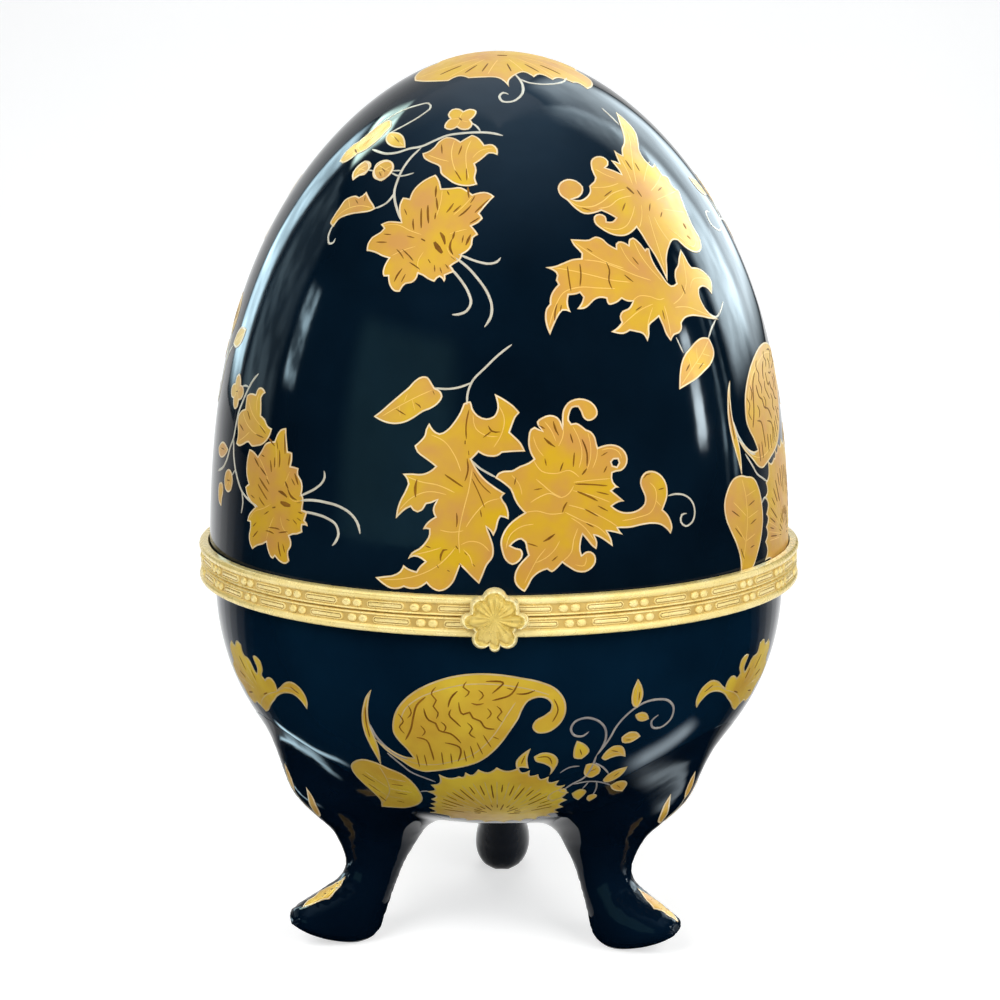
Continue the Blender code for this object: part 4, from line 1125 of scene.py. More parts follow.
LOTUS_SPRAY = {
    "gold": (LOTUS,),
    "stems": (
        (0.46, 3.6, 0.1, 5.5, -0.6, 7.3, -1.1, 9.1, -1.2, 10.1, -0.8, 10.7, 0.1),
        (0.5, 3.2, -0.6, 5.5, -2.3, 7.3, -4.1, 9.1, -6.4, 10, -8.5, 10, -10.5, 9.1, -12.3),
        (0.5, 2.4, -2.4, 4.5, -4.6, 5.8, -6.4, 6.5, -8.5, 5.9, -9.8, 4.5, -10.5, 3.5, -10.6),
    ),
    "veins": lines(
        0.14, (-11, 5.6, -8, 5.6, -5.6, 4.4, -3.4, 3.6), (-8.4, -0.2, -6.2, 0.8, -4.2, 1.4),
        (-3, -3.4, -3.4, -1.4, -2.6, 0.4), (-0.9, 12.2, -0.8, 10, -1.2, 7), (4.6, 11.2, 3.2, 9, 1.8, 7.4),
        (4.4, 4.8, 3.2, 4.4, 1.6, 3.8), (3.2, -0.6, 2, 0.2, 1.4, 1.4),
    ),
    "marks": (
        (0.34, -5.3, 6.6, -5.2, 5.6, -4.9, 4.5), (0.34, -4.1, 8.6, -3.9, 6.8, -3.6, 4.8),
        (0.42, -3, 9.2, -2.8, 7.6, -2.4, 5.7), (0.36, -1.7, 10.6, -1.4, 9.4, -1.1, 8.2), (0.38, -1.4, 7.7, -1.4, 6.5),
        (0.4, 1.5, 9.6, 1, 8.6, 0.5, 7.8), (0.46, 2.8, 9.2, 2.3, 8.6, 1.7, 7.9), (0.34, 4.6, 9.4, 3.8, 8.2, 2.7, 7.1),
        (0.36, 7.5, 10.8, 6.6, 9.6, 5.4, 8), (0.3, 6.3, 7.1, 5.6, 6.5, 4.8, 5.9),
        (0.42, -2.1, 13, -2, 12, -1.9, 10.8), (0.42, 3.5, 13, 3.7, 12, 4, 10.8), (0.34, 0, 12, 0.5, 11.2),
        (0.24, 5, 11.2, 4.4, 9.8), (0.8, -3.3, 2.8, -2.6, 2.4), (1.5, -0.9, 2.2, -0.2, 1.2, 0.7, 0.2),
        (0.8, -0.1, 4, 0.5, 3.2, 1, 1.8), (0.6, 2.4, 4.2, 2.2, 2.8), (0.44, 2.1, 2.8, 1.9, 1.4, 2.6, 0),
        (0.6, 5.2, 3.8, 4.9, 2.8, 4.6, 1.8),
        *lines(
            0.26, (4, 3.6, 3.9, 2.2), (-7.6, 1, -6.8, 0.2, -6.1, -0.8), (-6.5, 0.9, -5.9, 0.4, -5.2, -0.3),
            (-5.4, 0, -4.3, -1.2),
        ),
        (0.34, -7.3, -4.9, -6.9, -3.8, -6.1, -2.6), (0.24, -6, -5, -5.4, -3.6),
        (0.24, -4.9, -1.5, -3.9, -2.1, -2.9, -2.8), (0.5, -1.6, -1, -1.2, -1.6), (0.26, -0.4, -2, -0.2, -3.2),
        (0.26, 0.6, -2.4, 1, -3.4), (0.3, 1.5, -1.8, 2.1, -2.6), (0.3, 2.3, -0.4, 3, -0.9),
        (0.24, -11.6, 2.6, -9.6, 2.4), (0.24, -6, 3.4, -4.6, 3), (0.22, -10.4, 4, -9, 3.8),
        (0.22, -7.2, 8.6, -6.6, 7.4),
    ),
}

BELL = (
    (6, 10.4, 7, 10.1, 7.8, 9.5), (8.7, 8.5, 10, 8.9, 11.1, 8), (11.4, 6.7, 10.6, 6.9, 9.9, 6.8, 9.4, 6, 8.7, 4.9),
    (8.1, 4.2, 8.7, 2.9, 8.8, 1.3), (9.5, 0.1, 8.2, -0.5, 5.7, -0.4, 3.9, 0.6, 2.5, 1.7, 2.1, 2.9),
    (1, 3.5, -0.2, 4, -1.3, 4.7), (-1.9, 5.8, -0.8, 6.3, -0.1, 7.1, 0.5, 8.5, 1.6, 9.5, 3, 9.4), (4.4, 8.7, 5.2, 9.6),
)
BELL_SIDE_LEAF = (
    (-5.6, 7.3, -6, 8.5, -6.6, 9.7, -7.7, 10.8), (-10.2, 11.5, -10.6, 10.4, -10.2, 9.3, -8.8, 8, -7.2, 7.4),
)
FAN_BLOSSOM = (
    (-13.4, 5.5, -12.2, 5, -11.6, 3.9, -12.2, 2.8, -13.6, 2.2), (-14.8, 1.4, -15.3, 2.4, -15.4, 3.4, -14.6, 4.6),
)
BELL_SPRAY = {
    "gold": (
        BELL, BELL_SIDE_LEAF, FAN_BLOSSOM,
        (
            (2.9, 15.9, 3.9, 16.6, 5.2, 16.2, 5.3, 14.9), (4.8, 13.9, 5.5, 12.9, 5.1, 11.6, 3.8, 11.4),
            (2.9, 11.9, 1.9, 11.2, 0.6, 11.7, 0.5, 12.9), (1, 13.9, 0.3, 14.9, 0.7, 16.3, 1.9, 16.5),
        ),
        ((-8.7, 4.7, -7.3, 4.2, -6.6, 2.8, -7.2, 1.2, -8.8, 0.5, -10.3, 1.2, -10.9, 2.6, -10.2, 4.1),),
    ),
    "stems": (
        (0.42, 5.2, 13.2, 6.4, 12.4, 7.3, 11.3),
        (
            0.55, 11.2, 11.2, 9, 11.4, 7.1, 11.2, 4.1, 10.6, 1.6, 9.9, -0.2, 8.8, -2.5, 7.4, -4.7, 7, -7, 6.3, -9.5,
            6.4, -11.3, 7.2, -12.7, 8,
        ),
        (0.5, -2.5, 7, -4, 4.7, -4.8, 2.6, -5.2, 0.2, -5.2, -2.4, -4.6, -4.2, -3.6, -6.2, -2.5, -8),
        (0.4, -5.2, -2.4, -6.1, -4.2, -7.9, -5.3), (0.4, -4.9, 2.2, -6.8, 2.3),
    ),
    "veins": (
        (0.2, 3.3, 8.8, 3.4, 6.4, 4.2, 4, 6, 1),
        *lines(
            0.18, (6.2, 9.2, 6, 6.6, 6.6, 4, 7.8, 1), (10.2, 8, 8.4, 7.2, 7.4, 5.4), (-0.6, 5.4, 1.6, 4.6, 3.4, 4.2),
        ),
        *lines(
            0.16, (2.9, 15.8, 2.9, 13.9, 4.6, 13.3), (1, 13.6, 2.9, 13.9, 2.7, 12),
            (-9.8, 10.8, -7.8, 9.2, -6.2, 7.8), (-10.2, 2.6, -8.7, 2.6, -7.2, 3.4), (-8.7, 2.6, -8.3, 1),
            (-14.6, 2.4, -13.6, 3.9, -12.4, 4.2),
        ),
    ),
    "marks": (
        (0.26, 1.2, 7.8, 1.8, 5.8), (0.3, 4.9, 7.8, 4.8, 5.8), (0.24, 5, 2.4, 6.6, 0.4), (0.24, 6.9, 3, 7.5, 0.6),
        (0.45, 2.6, 14.2, 3.3, 13.6), (0.4, -9.1, 3.1, -8.2, 2.2), (0.22, -8.8, 10.2, -7.2, 8.6),
    ),
}

TOP_LEFT_SPRAY = {
    "gold": (
        (
            (4.2, -0.9, 3.4, -0.1, 2.5, 0.6), (0.7, 2.3, 0.2, 1.5),
            (-0.4, 1.1, -1.4, 1.4, -2.4, 1.2, -3.6, 0.5, -4.1, -0.9, -4.7, -2.5, -5, -4.1),
            (-3.8, -4.8, -3.3, -3.5, -1.3, -2.5, 1.6, -1.9, 3.3, -1.5),
        ),
        ((0, 8.2, 1.2, 9, 2.6, 9, 3.9, 8, 4.1, 6.2, 2.9, 4.6, 1.3, 5.2, 0.1, 6.6),),
        ((-3.1, 8.8, -1.8, 8.2, -1.1, 6.8, -1.5, 5.7, -2.9, 5.5), (-3.8, 4.6, -4.6, 5.8, -4.4, 7.6)),
        (
            (-10.3, 9.2, -10, 11.2, -8.8, 12.9), (-7.8, 13.4, -6.3, 15.4, -4.8, 17.4, -3, 18.2),
            (-1.6, 16.6, -2.4, 14.2, -3.4, 12.4, -4.8, 11), (-6.2, 10.4, -7.4, 9.2, -9, 8.6),
        ),
    ),
    "stems": (
        (0.42, -4, -4.2, -4.3, -6.6, -3.4, -8, -2.5, -7.8, -2.3, -7),
        (0.4, -4.4, 17.9, -2.2, 20.2, 0.8, 21.9, 3, 22.6, 4.1, 21.6, 3.5, 19.8, 1.7, 17.4, -0.8, 15.2),
        (0.42, 3.9, -0.9, 6, 0.5, 6.8, 2.2), (0.36, 4, 6.6, 6, 6, 8.6, 7), (0.36, -1.4, 6.8, 0.2, 6.6),
    ),
    "veins": (
        (0.18, -4.4, -3.6, -2.6, -1.6, 0.2, -0.6, 3.4, -0.8),
        *lines(0.16, (-2.8, 0.8, -1.6, -1), (0.8, 7.8, 2.2, 7.2, 3.6, 6.8), (-4, 7, -2.8, 6.9, -1.7, 6.6)),
        (0.18, -9.4, 10, -7, 11.8, -4.4, 14.6, -2.4, 17.2), (0.16, -7.2, 13.6, -6.9, 11.9, -5.4, 11),
    ),
    "marks": (
        (0.26, -1, 0.6, 0, -0.2), (0.3, 1.6, 6.4, 2.4, 5.6), (0.45, -7.6, 11.6, -6.4, 10.6),
        (0.26, 0.9, 1.4, 1.2, 0.4),
    ),
}

SCROLL_PEONY = (
    (-10.8, 8.8, -9.4, 8.4, -8, 8.9, -6.9, 10), (-6.7, 10.9, -6.1, 11.3, -5.3, 11.8),
    (-4.8, 12.5, -4.8, 14.2, -4.1, 16, -2.5, 16.8, -1.2, 16.6, -0.6, 15.6, -1, 14.8), (-1.9, 14.3, -0.6, 13.8),
    (0.9, 12.9, 0.7, 14, 0.4, 14.9), (0.1, 15.8, 0.9, 15.6), (1.6, 15.2, 1.7, 16.6), (1.9, 18, 2.5, 17.3),
    (3.2, 16.9, 3.9, 18.4, 5.2, 19.7, 6.4, 22, 7.2, 24.4), (8.4, 27.3, 9.6, 25.6, 10.3, 22.8, 9.6, 20.8),
    (8.4, 18.6, 8.2, 17.2, 8.6, 15.9), (9.4, 14.8, 10, 15), (10.6, 15.5, 11, 14.3), (11.4, 13.2, 12.5, 13, 13, 10.9),
    (14.3, 10.1, 14, 6.2, 14.3, 3, 15.2, 0.2, 14.3, -1.8, 12.3, -2.4, 10.4, -1.8),
    (8.6, -0.3, 7.6, -0.2, 5.7, -1.8, 4.5, -3.7, 3.9, -5.8), (3.2, -7.9, 2.6, -5.5, 1.9, -3.2, 0.9, -0.8, 0.3, 1),
    (-0.2, 2.2, -1.3, 1.5, -3.3, 0.8, -5.4, 1.1, -7.2, 2.3, -8.3, 3.9, -8, 5, -6.8, 5.4, -5.8, 4.8),
    (-5.9, 3.8, -4.8, 3.7), (-3.9, 4.3, -4.9, 5.1),
    (
        -6.2, 5.9, -7.6, 5.6, -9.6, 5.7, -11, 7.2, -11.7, 8.7, -12.5, 9.8, -12.5, 11.2, -11.5, 12.4, -10.1, 12.8,
        -8.6, 12.2, -7.9, 10.9, -8.5, 9.6, -9.6, 8.9,
    ),
)
CLUSTER = (
    (-13.5, 1.5, -12.2, 1.2, -10.3, 0.9, -9, 1.3, -7.9, 0.8, -7, -0.4),
    (-5.8, -1.3, -5.6, -0.5, -4.9, -0.1, -3.9, -0.3), (-3.1, -0.9, -2.5, 0.2, -1.7, 0.4, -0.8, -0.4),
    (0.1, -2, 0.5, -1.7), (1.1, -1.8, 1, -3.2, 1.5, -5.3, 2.1, -6.4), (2.9, -7.9, 3.8, -8.7),
    (5.2, -8.3, 5.2, -7.2, 5.8, -5.8, 6.7, -5, 7.4, -3.7), (8.6, -2, 9.2, -3.3, 9.6, -4.5),
    (10.2, -5.3, 11.7, -5.3, 13.4, -5.9, 14.8, -7.4),
    (14, -10.1, 13.3, -9.2, 11.9, -8.8, 10.7, -9.3, 10.4, -10.6, 10.9, -12.2, 12, -13.5),
    (14.4, -14.6, 12, -14.6, 9.4, -14.3, 7.2, -14.2, 5.4, -14.6), (4.4, -15.4, 4.2, -16.4, 3.4, -17.1, 2.2, -17.4),
    (1.2, -18.4, 0.4, -17.2, 0, -15.6), (-0.5, -14.1, -1.6, -14.7, -2.8, -15.4, -3.1, -16.8),
    (-3.8, -18.1, -4.5, -16.7, -5.6, -16.3), (-6.9, -15.9, -8.3, -16.3, -9.3, -16.1), (-10.5, -15.6, -9.1, -15),
    (-8.2, -14.3, -8.3, -13.2, -7.6, -12.4, -6.4, -12.1), (-5.2, -11, -6.2, -10.9),
    (-7.2, -10.3, -7.9, -10.7, -8.9, -11, -9.9, -11),
    (-10.1, -9.9, -11.3, -9.6, -12.4, -9.9, -13.4, -10.6, -14.4, -11), (-15.6, -10.8, -14.7, -10),
    (-14.1, -9, -14.5, -8.2, -15.1, -8.3), (-16.4, -8.2, -16.8, -9.2, -16.9, -10.2),
    (-16.7, -11.2, -18, -10.6, -18.9, -11.4, -19.8, -12.6), (-20.8, -14.2, -21.1, -12.4, -21, -10.9, -20.5, -9.6),
    (-19.8, -9, -19.5, -7.9, -18.8, -6.9), (-17.7, -6, -17.9, -5.2, -17.5, -4.4),
    (-19, -2.6, -17.4, -2.7, -15.8, -2.4, -14.2, -2.1), (-12.7, -2.2, -12.4, -1.4, -12.8, -0.6, -13.3, 0.3),
)
RIGHT_SPRAY = {
    "gold": (SCROLL_PEONY, CLUSTER),
    "stems": ((0.4, 12, -13.6, 13.8, -14.2, 15.6, -13, 17, -11.2), (0.4, 6.8, 24, 6, 26.2, 5.2, 28)),
    "veins": (
        (0.22, -11.6, 9.2, -10.2, 7.4, -7.8, 6.9, -5.4, 7.6, -2.8, 9, 0.4, 9.8),
        *lines(
            0.2, (-6.6, 6.4, -4.4, 6.6, -2, 7.8, 1.2, 8.4), (-6.4, 10.6, -3.6, 10.4, -0.6, 11),
            (-6.9, 2.8, -4.6, 2.1, -2.4, 2.6, -0.6, 4.2, 1, 6.4), (0.4, 2.2, 1.6, 4, 2.6, 6.6),
            (-4.1, 14.2, -2.4, 12.8, -0.8, 12), (2.4, 16.4, 2.6, 13.4, 2.4, 10.6),
            (8, 25.8, 7.6, 21.6, 5.8, 17.6, 4.2, 13.6, 3.4, 10.8),
        ),
        *lines(
            0.18, (9.2, 22.4, 8.2, 19.8), (9.4, 15.8, 7.4, 13.8, 5.4, 11.2), (11.2, 13.4, 8.8, 11.2, 6.2, 9.4),
            (13.4, 10, 10.2, 8.8, 6.8, 7.6), (13.6, 5.6, 10.4, 5.6, 7.2, 5.8),
        ),
        (0.2, 13.8, 0.4, 12.6, -1.2, 10.8, -0.8, 9.2, 0.6, 7, 2.2), (0.18, 6.4, -0.6, 5.2, 1.6, 4.6, 4.2),
        (0.18, 3.3, -5.4, 3.2, -2, 3.2, 1.8, 3.4, 4.6), (0.2, -13, 0.8, -10.8, -1.6, -8.6, -3.4, -5.4, -5),
        (0.2, -12.2, -2.6, -9.4, -3.4, -6.6, -4.8, -3.6, -6.4, -0.4, -7.6),
        (0.18, -4.8, -0.8, -4.2, -3.2, -2.4, -5.6), (0.18, -1.8, -0.2, -1.2, -3, 0.2, -5.6, 2, -7.8),
        *lines(
            0.2, (-17.6, -3, -14.6, -4.2, -11.4, -5.6, -8.4, -6.8, -4.8, -7.6),
            (-20.6, -12.6, -19, -9.6, -17.2, -7.6, -14.2, -7.2, -11.4, -7.8, -8, -8.4),
            (-5.2, -10.9, -3.8, -10.2, -1.6, -10.4, 0.6, -11.1, 1.6, -10.9),
            (-9.4, -15.6, -6.8, -14, -4, -12.6, -1.2, -11.8),
        ),
        (0.18, -3.8, -17.2, -2.8, -14.6, -1.4, -12.4), (0.18, 1.4, -17.4, 1.4, -14.8, 1.2, -12.2),
        *lines(
            0.2, (13.2, -14.4, 9.6, -13.4, 6.6, -12.6, 3.6, -12.6),
            (8.6, -3, 8.2, -5.8, 7.6, -8.4, 5.6, -10.8, 3.4, -12), (14, -7.4, 11.6, -7.2, 9.6, -7.6, 8.4, -9.2),
        ),
    ),
    "marks": (
        (0.8, 0.9, 10.2, 1.5, 9.4, 1.9, 8.8), (0.34, 3, 9.6, 3.4, 8.2),
        *lines(0.3, (-2, 5.6, -0.8, 7), (4, 5.4, 4.8, 6.8), (6.2, 4.2, 7, 5.2)), (0.26, -9.6, 6.9, -8.2, 6.2),
        (0.26, -4.6, 8.6, -2.6, 9.6), (0.34, 3.4, 15.8, 3.8, 13.8), (0.3, 5.4, 15.2, 5.6, 13.6),
        (0.3, 8.2, 9.6, 9.6, 10.4), (0.9, 11.7, 3.2, 12, 2.2), (0.6, 11.6, 0.8, 12.2, 0.2),
        (0.24, -15.4, -3.2, -15.7, -5.4, -15.9, -7.6), (0.26, -13.2, -3.2, -13.5, -5, -14.2, -7),
        (0.28, -8.4, -3.6, -8.2, -5, -8.8, -6.8, -8.6, -8.4),
        *lines(0.24, (-11.2, -0.6, -10.4, -1.4), (-18.6, -9.2, -19.2, -10.4, -19.6, -12), (-18, -9.6, -18.4, -10.6)),
        *lines(
            0.26, (-5.6, -6.2, -4.2, -7.6), (-3, -3.2, -2.2, -4.6), (-5, -12.6, -3.6, -12), (0.6, -13, 0.7, -14.6),
            (6.4, -8.6, 6.8, -10.2),
        ),
    ),
}
RIGHT_LEAF_SPRAY = {
    "gold": (
        (
            (-2.1, -2.4, -1.8, -0.8, -1.3, 0.9, -0.5, 2.5, 0.6, 3.7, 1.8, 4.5, 3.6, 5.6, 5.4, 6.2),
            (7.2, 6, 7.8, 4.8, 8, 3.4, 6.8, 1.6, 4.5, 0.2, 2.3, -0.9, 0, -1.7),
        ),
    ),
    "stems": ((0.42, 7, 5.8, 8.6, 7.7, 10.2, 9.1), (0.32, -0.9, 6.6, -0.4, 5.2, 0.1, 3.8)),
    "veins": (
        (0.18, -1.4, -1.6, 1.4, 0.8, 4.4, 3.2, 7, 5.6),
        *lines(0.14, (1.4, 0.8, 1.2, 3.2), (3.2, 2.2, 3.4, 4.6), (2.8, 1.8, 5, 1.4), (4.6, 3.4, 6.8, 2.8)),
    ),
    "marks": ((0.22, 0, 0.6, 1.2, 1.8), (0.22, 3.2, 0.8, 4.6, 1.8)),
}

PAISLEY = (
    (
        -7.9, -3.4, -9.1, -1.2, -10.2, 0.2, -11.1, 2.1, -11, 4.1, -10.2, 6.8, -8.5, 9.3, -6.3, 11.3, -3.2, 13.1, -0.2,
        14.2, 4, 14.8, 8.2, 14.5, 11.8, 13.6, 15.1, 12.4, 17.6, 10.7, 19.1, 7.9, 19, 5.4, 17.9, 3.5, 15.9, 2.3, 14.2,
        2.5, 13.4, 3.8, 14, 5.2, 15.4, 5.9,
    ),
    (
        16.5, 6.6, 16.8, 7.8, 16.1, 9, 14.6, 9.6, 13, 9.2, 12, 7.9, 11.2, 6, 9.8, 3.8, 8.2, 1.3, 6.2, -1.2, 4, -3.2,
        1.2, -4.6, -1.6, -5.5, -4.3, -6.4, -6.6, -6.9, -8.5, -6.2, -10.2, -4.8, -12.7, -2.9,
    ),
    (-14.6, -0.6, -12.9, -1.6, -11, -2.9, -9.2, -3.5),
)
PAISLEY_STEM = (
    (-14.5, 9.9, -15.6, 8.4, -16.3, 6.4, -16.8, 3.6, -16.6, 0.4, -15.8, -2.6, -15, -5),
    (-14.4, -7.1, -14.2, -4.4, -14.4, -1.6, -15, 1, -15.5, 3.6, -15.4, 6.2, -15, 8.2),
)
PAISLEY_SPRAY = {
    "gold": (
        PAISLEY, PAISLEY_STEM, ((10.1, -5.5, 10.2, -3.6, 11.1, -2.2), (12.9, -0.8, 12.2, -3), (12.2, -5.8, 11, -5.3)),
        (
            (13.3, -2.9, 14.8, -2.2, 16.5, -2.9, 17.3, -4.6, 16.6, -6.8),
            (15.6, -8.4, 15.8, -6.2, 14.8, -5, 13.5, -4.1),
        ),
    ),
    "stems": (
        (0.6, -15.4, 2.7, -14.6, 0.4, -12.9, -1.8, -11, -3.4, -9, -4),
        (0.42, -12.7, -3.4, -10.4, -5.9, -8.8, -7.6, -6.6, -8.7, -4.6, -9.6),
    ),
    "veins": (
        (0.22, -9.6, 4.4, -8.6, 7.2, -6, 9.8, -2.4, 11.6, 1.8, 12.8, 6.2, 12.9, 10.4, 12.2, 14, 11, 16.4, 9.8),
        (
            0.2, -13.6, -1.6, -10.6, -3.8, -7.6, -4.8, -4.4, -4.6, -1, -3.4, 2.4, -1.8, 5, 0.6, 7.4, 3.8, 9.2, 6.8,
            10.8, 9.2,
        ),
    ),
    "marks": (
        (0.34, -4.7, 10.2, -6.3, 8.5, -7.1, 6, -7.7, 3.5, -8.9, 0.8),
        (0.34, -5.1, 8, -4.3, 5.7, -3.2, 5.2, -2.7, 3.8, -0.7, 3.2, 1, 1.2),
        (0.3, -0.3, 8.2, -0.7, 7.2, 0.4, 5.7, 1.2, 4.8), (0.34, 1, 11.7, -0.2, 10.4, -0.8, 8.6),
        *lines(
            0.32, (1.1, 9.6, 1.8, 7.3, 2.9, 7.7, 3.4, 6.6, 4.6, 6, 5.4, 4.6, 7, 4.2),
            (5.9, 13.4, 8.8, 12.8, 7.9, 12, 6.9, 11.2), (11.4, 12.9, 9.8, 10.6, 8.4, 10.2, 6.9, 9.9),
        ),
        (0.3, 14.1, 11, 12.6, 10.6, 11, 10.8), (0.3, 3.3, 9.5, 4.2, 9.2, 5.4, 9.4),
        (0.32, -6.8, 1.7, -5.1, 1.3, -4.5, -0.7, -4.2, -3.4), (0.32, -1.8, 1.1, 0.6, 0.3, 0.1, -3.3),
        *lines(
            0.22, (1.4, -0.4, 1.6, -3.2), (2.6, 0.6, 3, -2.4), (3.8, 1.4, 4.6, -1.4), (5, 3, 6.2, 0.2),
            (6.6, 2.6, 7.6, 2), (-2.6, -1.2, -2.6, -4.4), (-1, -1.4, -1, -4), (-5.8, -2.2, -5.6, -5.2),
            (-7.2, -2.4, -7, -5.6), (17.2, 8.8, 17.8, 6.6, 16.8, 4.4),
        ),
        *lines(
            0.24, (-9.8, 6.2, -9, 4.8, -9.8, 3.4, -9, 2.2), (-7.9, 8.2, -7.4, 6.8, -8.2, 5.6),
            (-2.8, 12.2, -3.6, 10.8, -2.8, 9.8, -3.4, 8.6, -2.6, 7.4, -3, 6.2),
            (2.6, 13.4, 2, 12.4, 3, 11.6, 2.2, 10.6), (4.6, 11.9, 5.4, 10.9, 4.6, 10),
            (2.4, 5.6, 3.2, 4.4, 2.6, 3.4, 3.6, 2.4), (7.6, 8.8, 8.4, 7.6, 7.6, 6.6, 8.4, 5.6),
            (6, 8.4, 6.6, 7.4, 5.8, 6.4), (9.4, 12, 10.4, 11.6), (-2.2, 5.6, -1.4, 4.6, -2, 3.4),
            (-5.9, 4.4, -5.2, 3.2, -5.8, 2.2),
        ),
        (0.26, 13.9, -3.2, 15.6, -3.4, 16.2, -5.4), (0.22, 11, -4.4, 11.8, -2.4),
        (0.24, -15.9, 6.2, -16, 3, -15.6, -0.4),
    ),
}

CURLED_LEAF = (
    (-16.2, 6.1, -18.4, 6.6, -20.4, 6.3, -22.4, 4.5, -23.4, 2.3, -23.1, -0.5, -21.8, -3, -20.3, -5.5, -19.2, -8.3),
    (
        -19.2, -11.8, -17, -11.4, -14.9, -10.5, -13.1, -8.3, -11.5, -5.5, -10.6, -2.1, -10.9, 0.6, -11.8, 3.3, -13.6,
        5.4,
    ),
)
MUM = (
    (-6.9, 7.6, -5.2, 6.8), (-3.3, 7.6, -2.8, 7.4), (-2.1, 8.9, -1.2, 8.2), (0.2, 9.8, 1.8, 9), (3.5, 10.3, 5.2, 9.2),
    (7.3, 9.8, 7.9, 8.4), (9.2, 8.8, 9.2, 7.2), (10.6, 7.4, 11, 5.8), (12.4, 6.2, 12.4, 4.4), (14.1, 4.4, 13.6, 2.8),
    (15.1, 2.4, 14.2, 0.8), (15.6, -0.6, 14.4, -2), (15.2, -3.8, 13.8, -5), (14.4, -7, 13, -7.8),
    (13.4, -10, 11.8, -9.8), (11.8, -12.4, 10, -11.2), (9.2, -14, 7.6, -12.2), (6.2, -15, 5, -12.8),
    (3, -15.4, 2, -13.2), (-0.4, -15, -1, -12.6), (-3.6, -14, -3.8, -11.8), (-6.6, -12.8, -6.6, -10.8),
    (-10, -10.2, -8.8, -8.6), (-9.8, -6.8, -8.6, -5.4), (-9.3, -4.2, -8.2, -2.8), (-9, -1.9, -8, -0.2),
    (-9.5, 1.2, -8, 2.2), (-8.6, 3.8, -7.2, 4.6),
)
MUM_HEART = (2.6, -7.5)  # the petals spread from here


def petal_lines(width, first, step, count, near, far):
    """Lines that fan out from the heart of the chrysanthemum, shorter toward its sides."""
    lines = []
    for k in range(count):
        a = math.radians(first + step * k)
        reach = 11.6 + 4.6 * math.sin(a)
        points = [width]
        for share in (near + 0.08 * (k % 3), (near + far) / 2, far):
            points.append(MUM_HEART[0] + reach * share * math.cos(a))
            points.append(MUM_HEART[1] + reach * share * math.sin(a))
        lines.append(tuple(points))
    return tuple(lines)


MUM_SPRAY = {
    "gold": (CURLED_LEAF, MUM),
    "stems": ((0.42, -10.8, 0.4, -9.6, 1.2, -8.2, 0.8),),
    "veins": (
        (0.2, -19.2, -11, -17.6, -6.4, -16.6, -1.4, -17, 3.4, -17.8, 5.8),
        *lines(
            0.16, (-17.4, -5.4, -20.2, -2), (-16.8, -1, -20.8, 2.2), (-17.4, -5.4, -14, -4.6),
            (-16.7, -1.4, -12.4, -0.6), (-16.9, 2.6, -13.2, 3.2),
        ),
        *petal_lines(0.16, 6, 9, 20, 0.3, 0.86),
    ),
    "marks": (
        *petal_lines(0.26, 10.5, 9, 19, 0.5, 0.8), *petal_lines(0.24, 3, 12, 15, 0.16, 0.34),
        *lines(
            0.24, (-21.4, 0.8, -19.2, -0.6), (-20.6, -2.4, -18.6, -4.4), (-19, -6.4, -18, -8.4),
            (-15.6, -2.6, -13.4, -2), (-16, 0.8, -13.8, 1.4), (-15.8, -6.8, -14.4, -6.6),
        ),
    ),
}

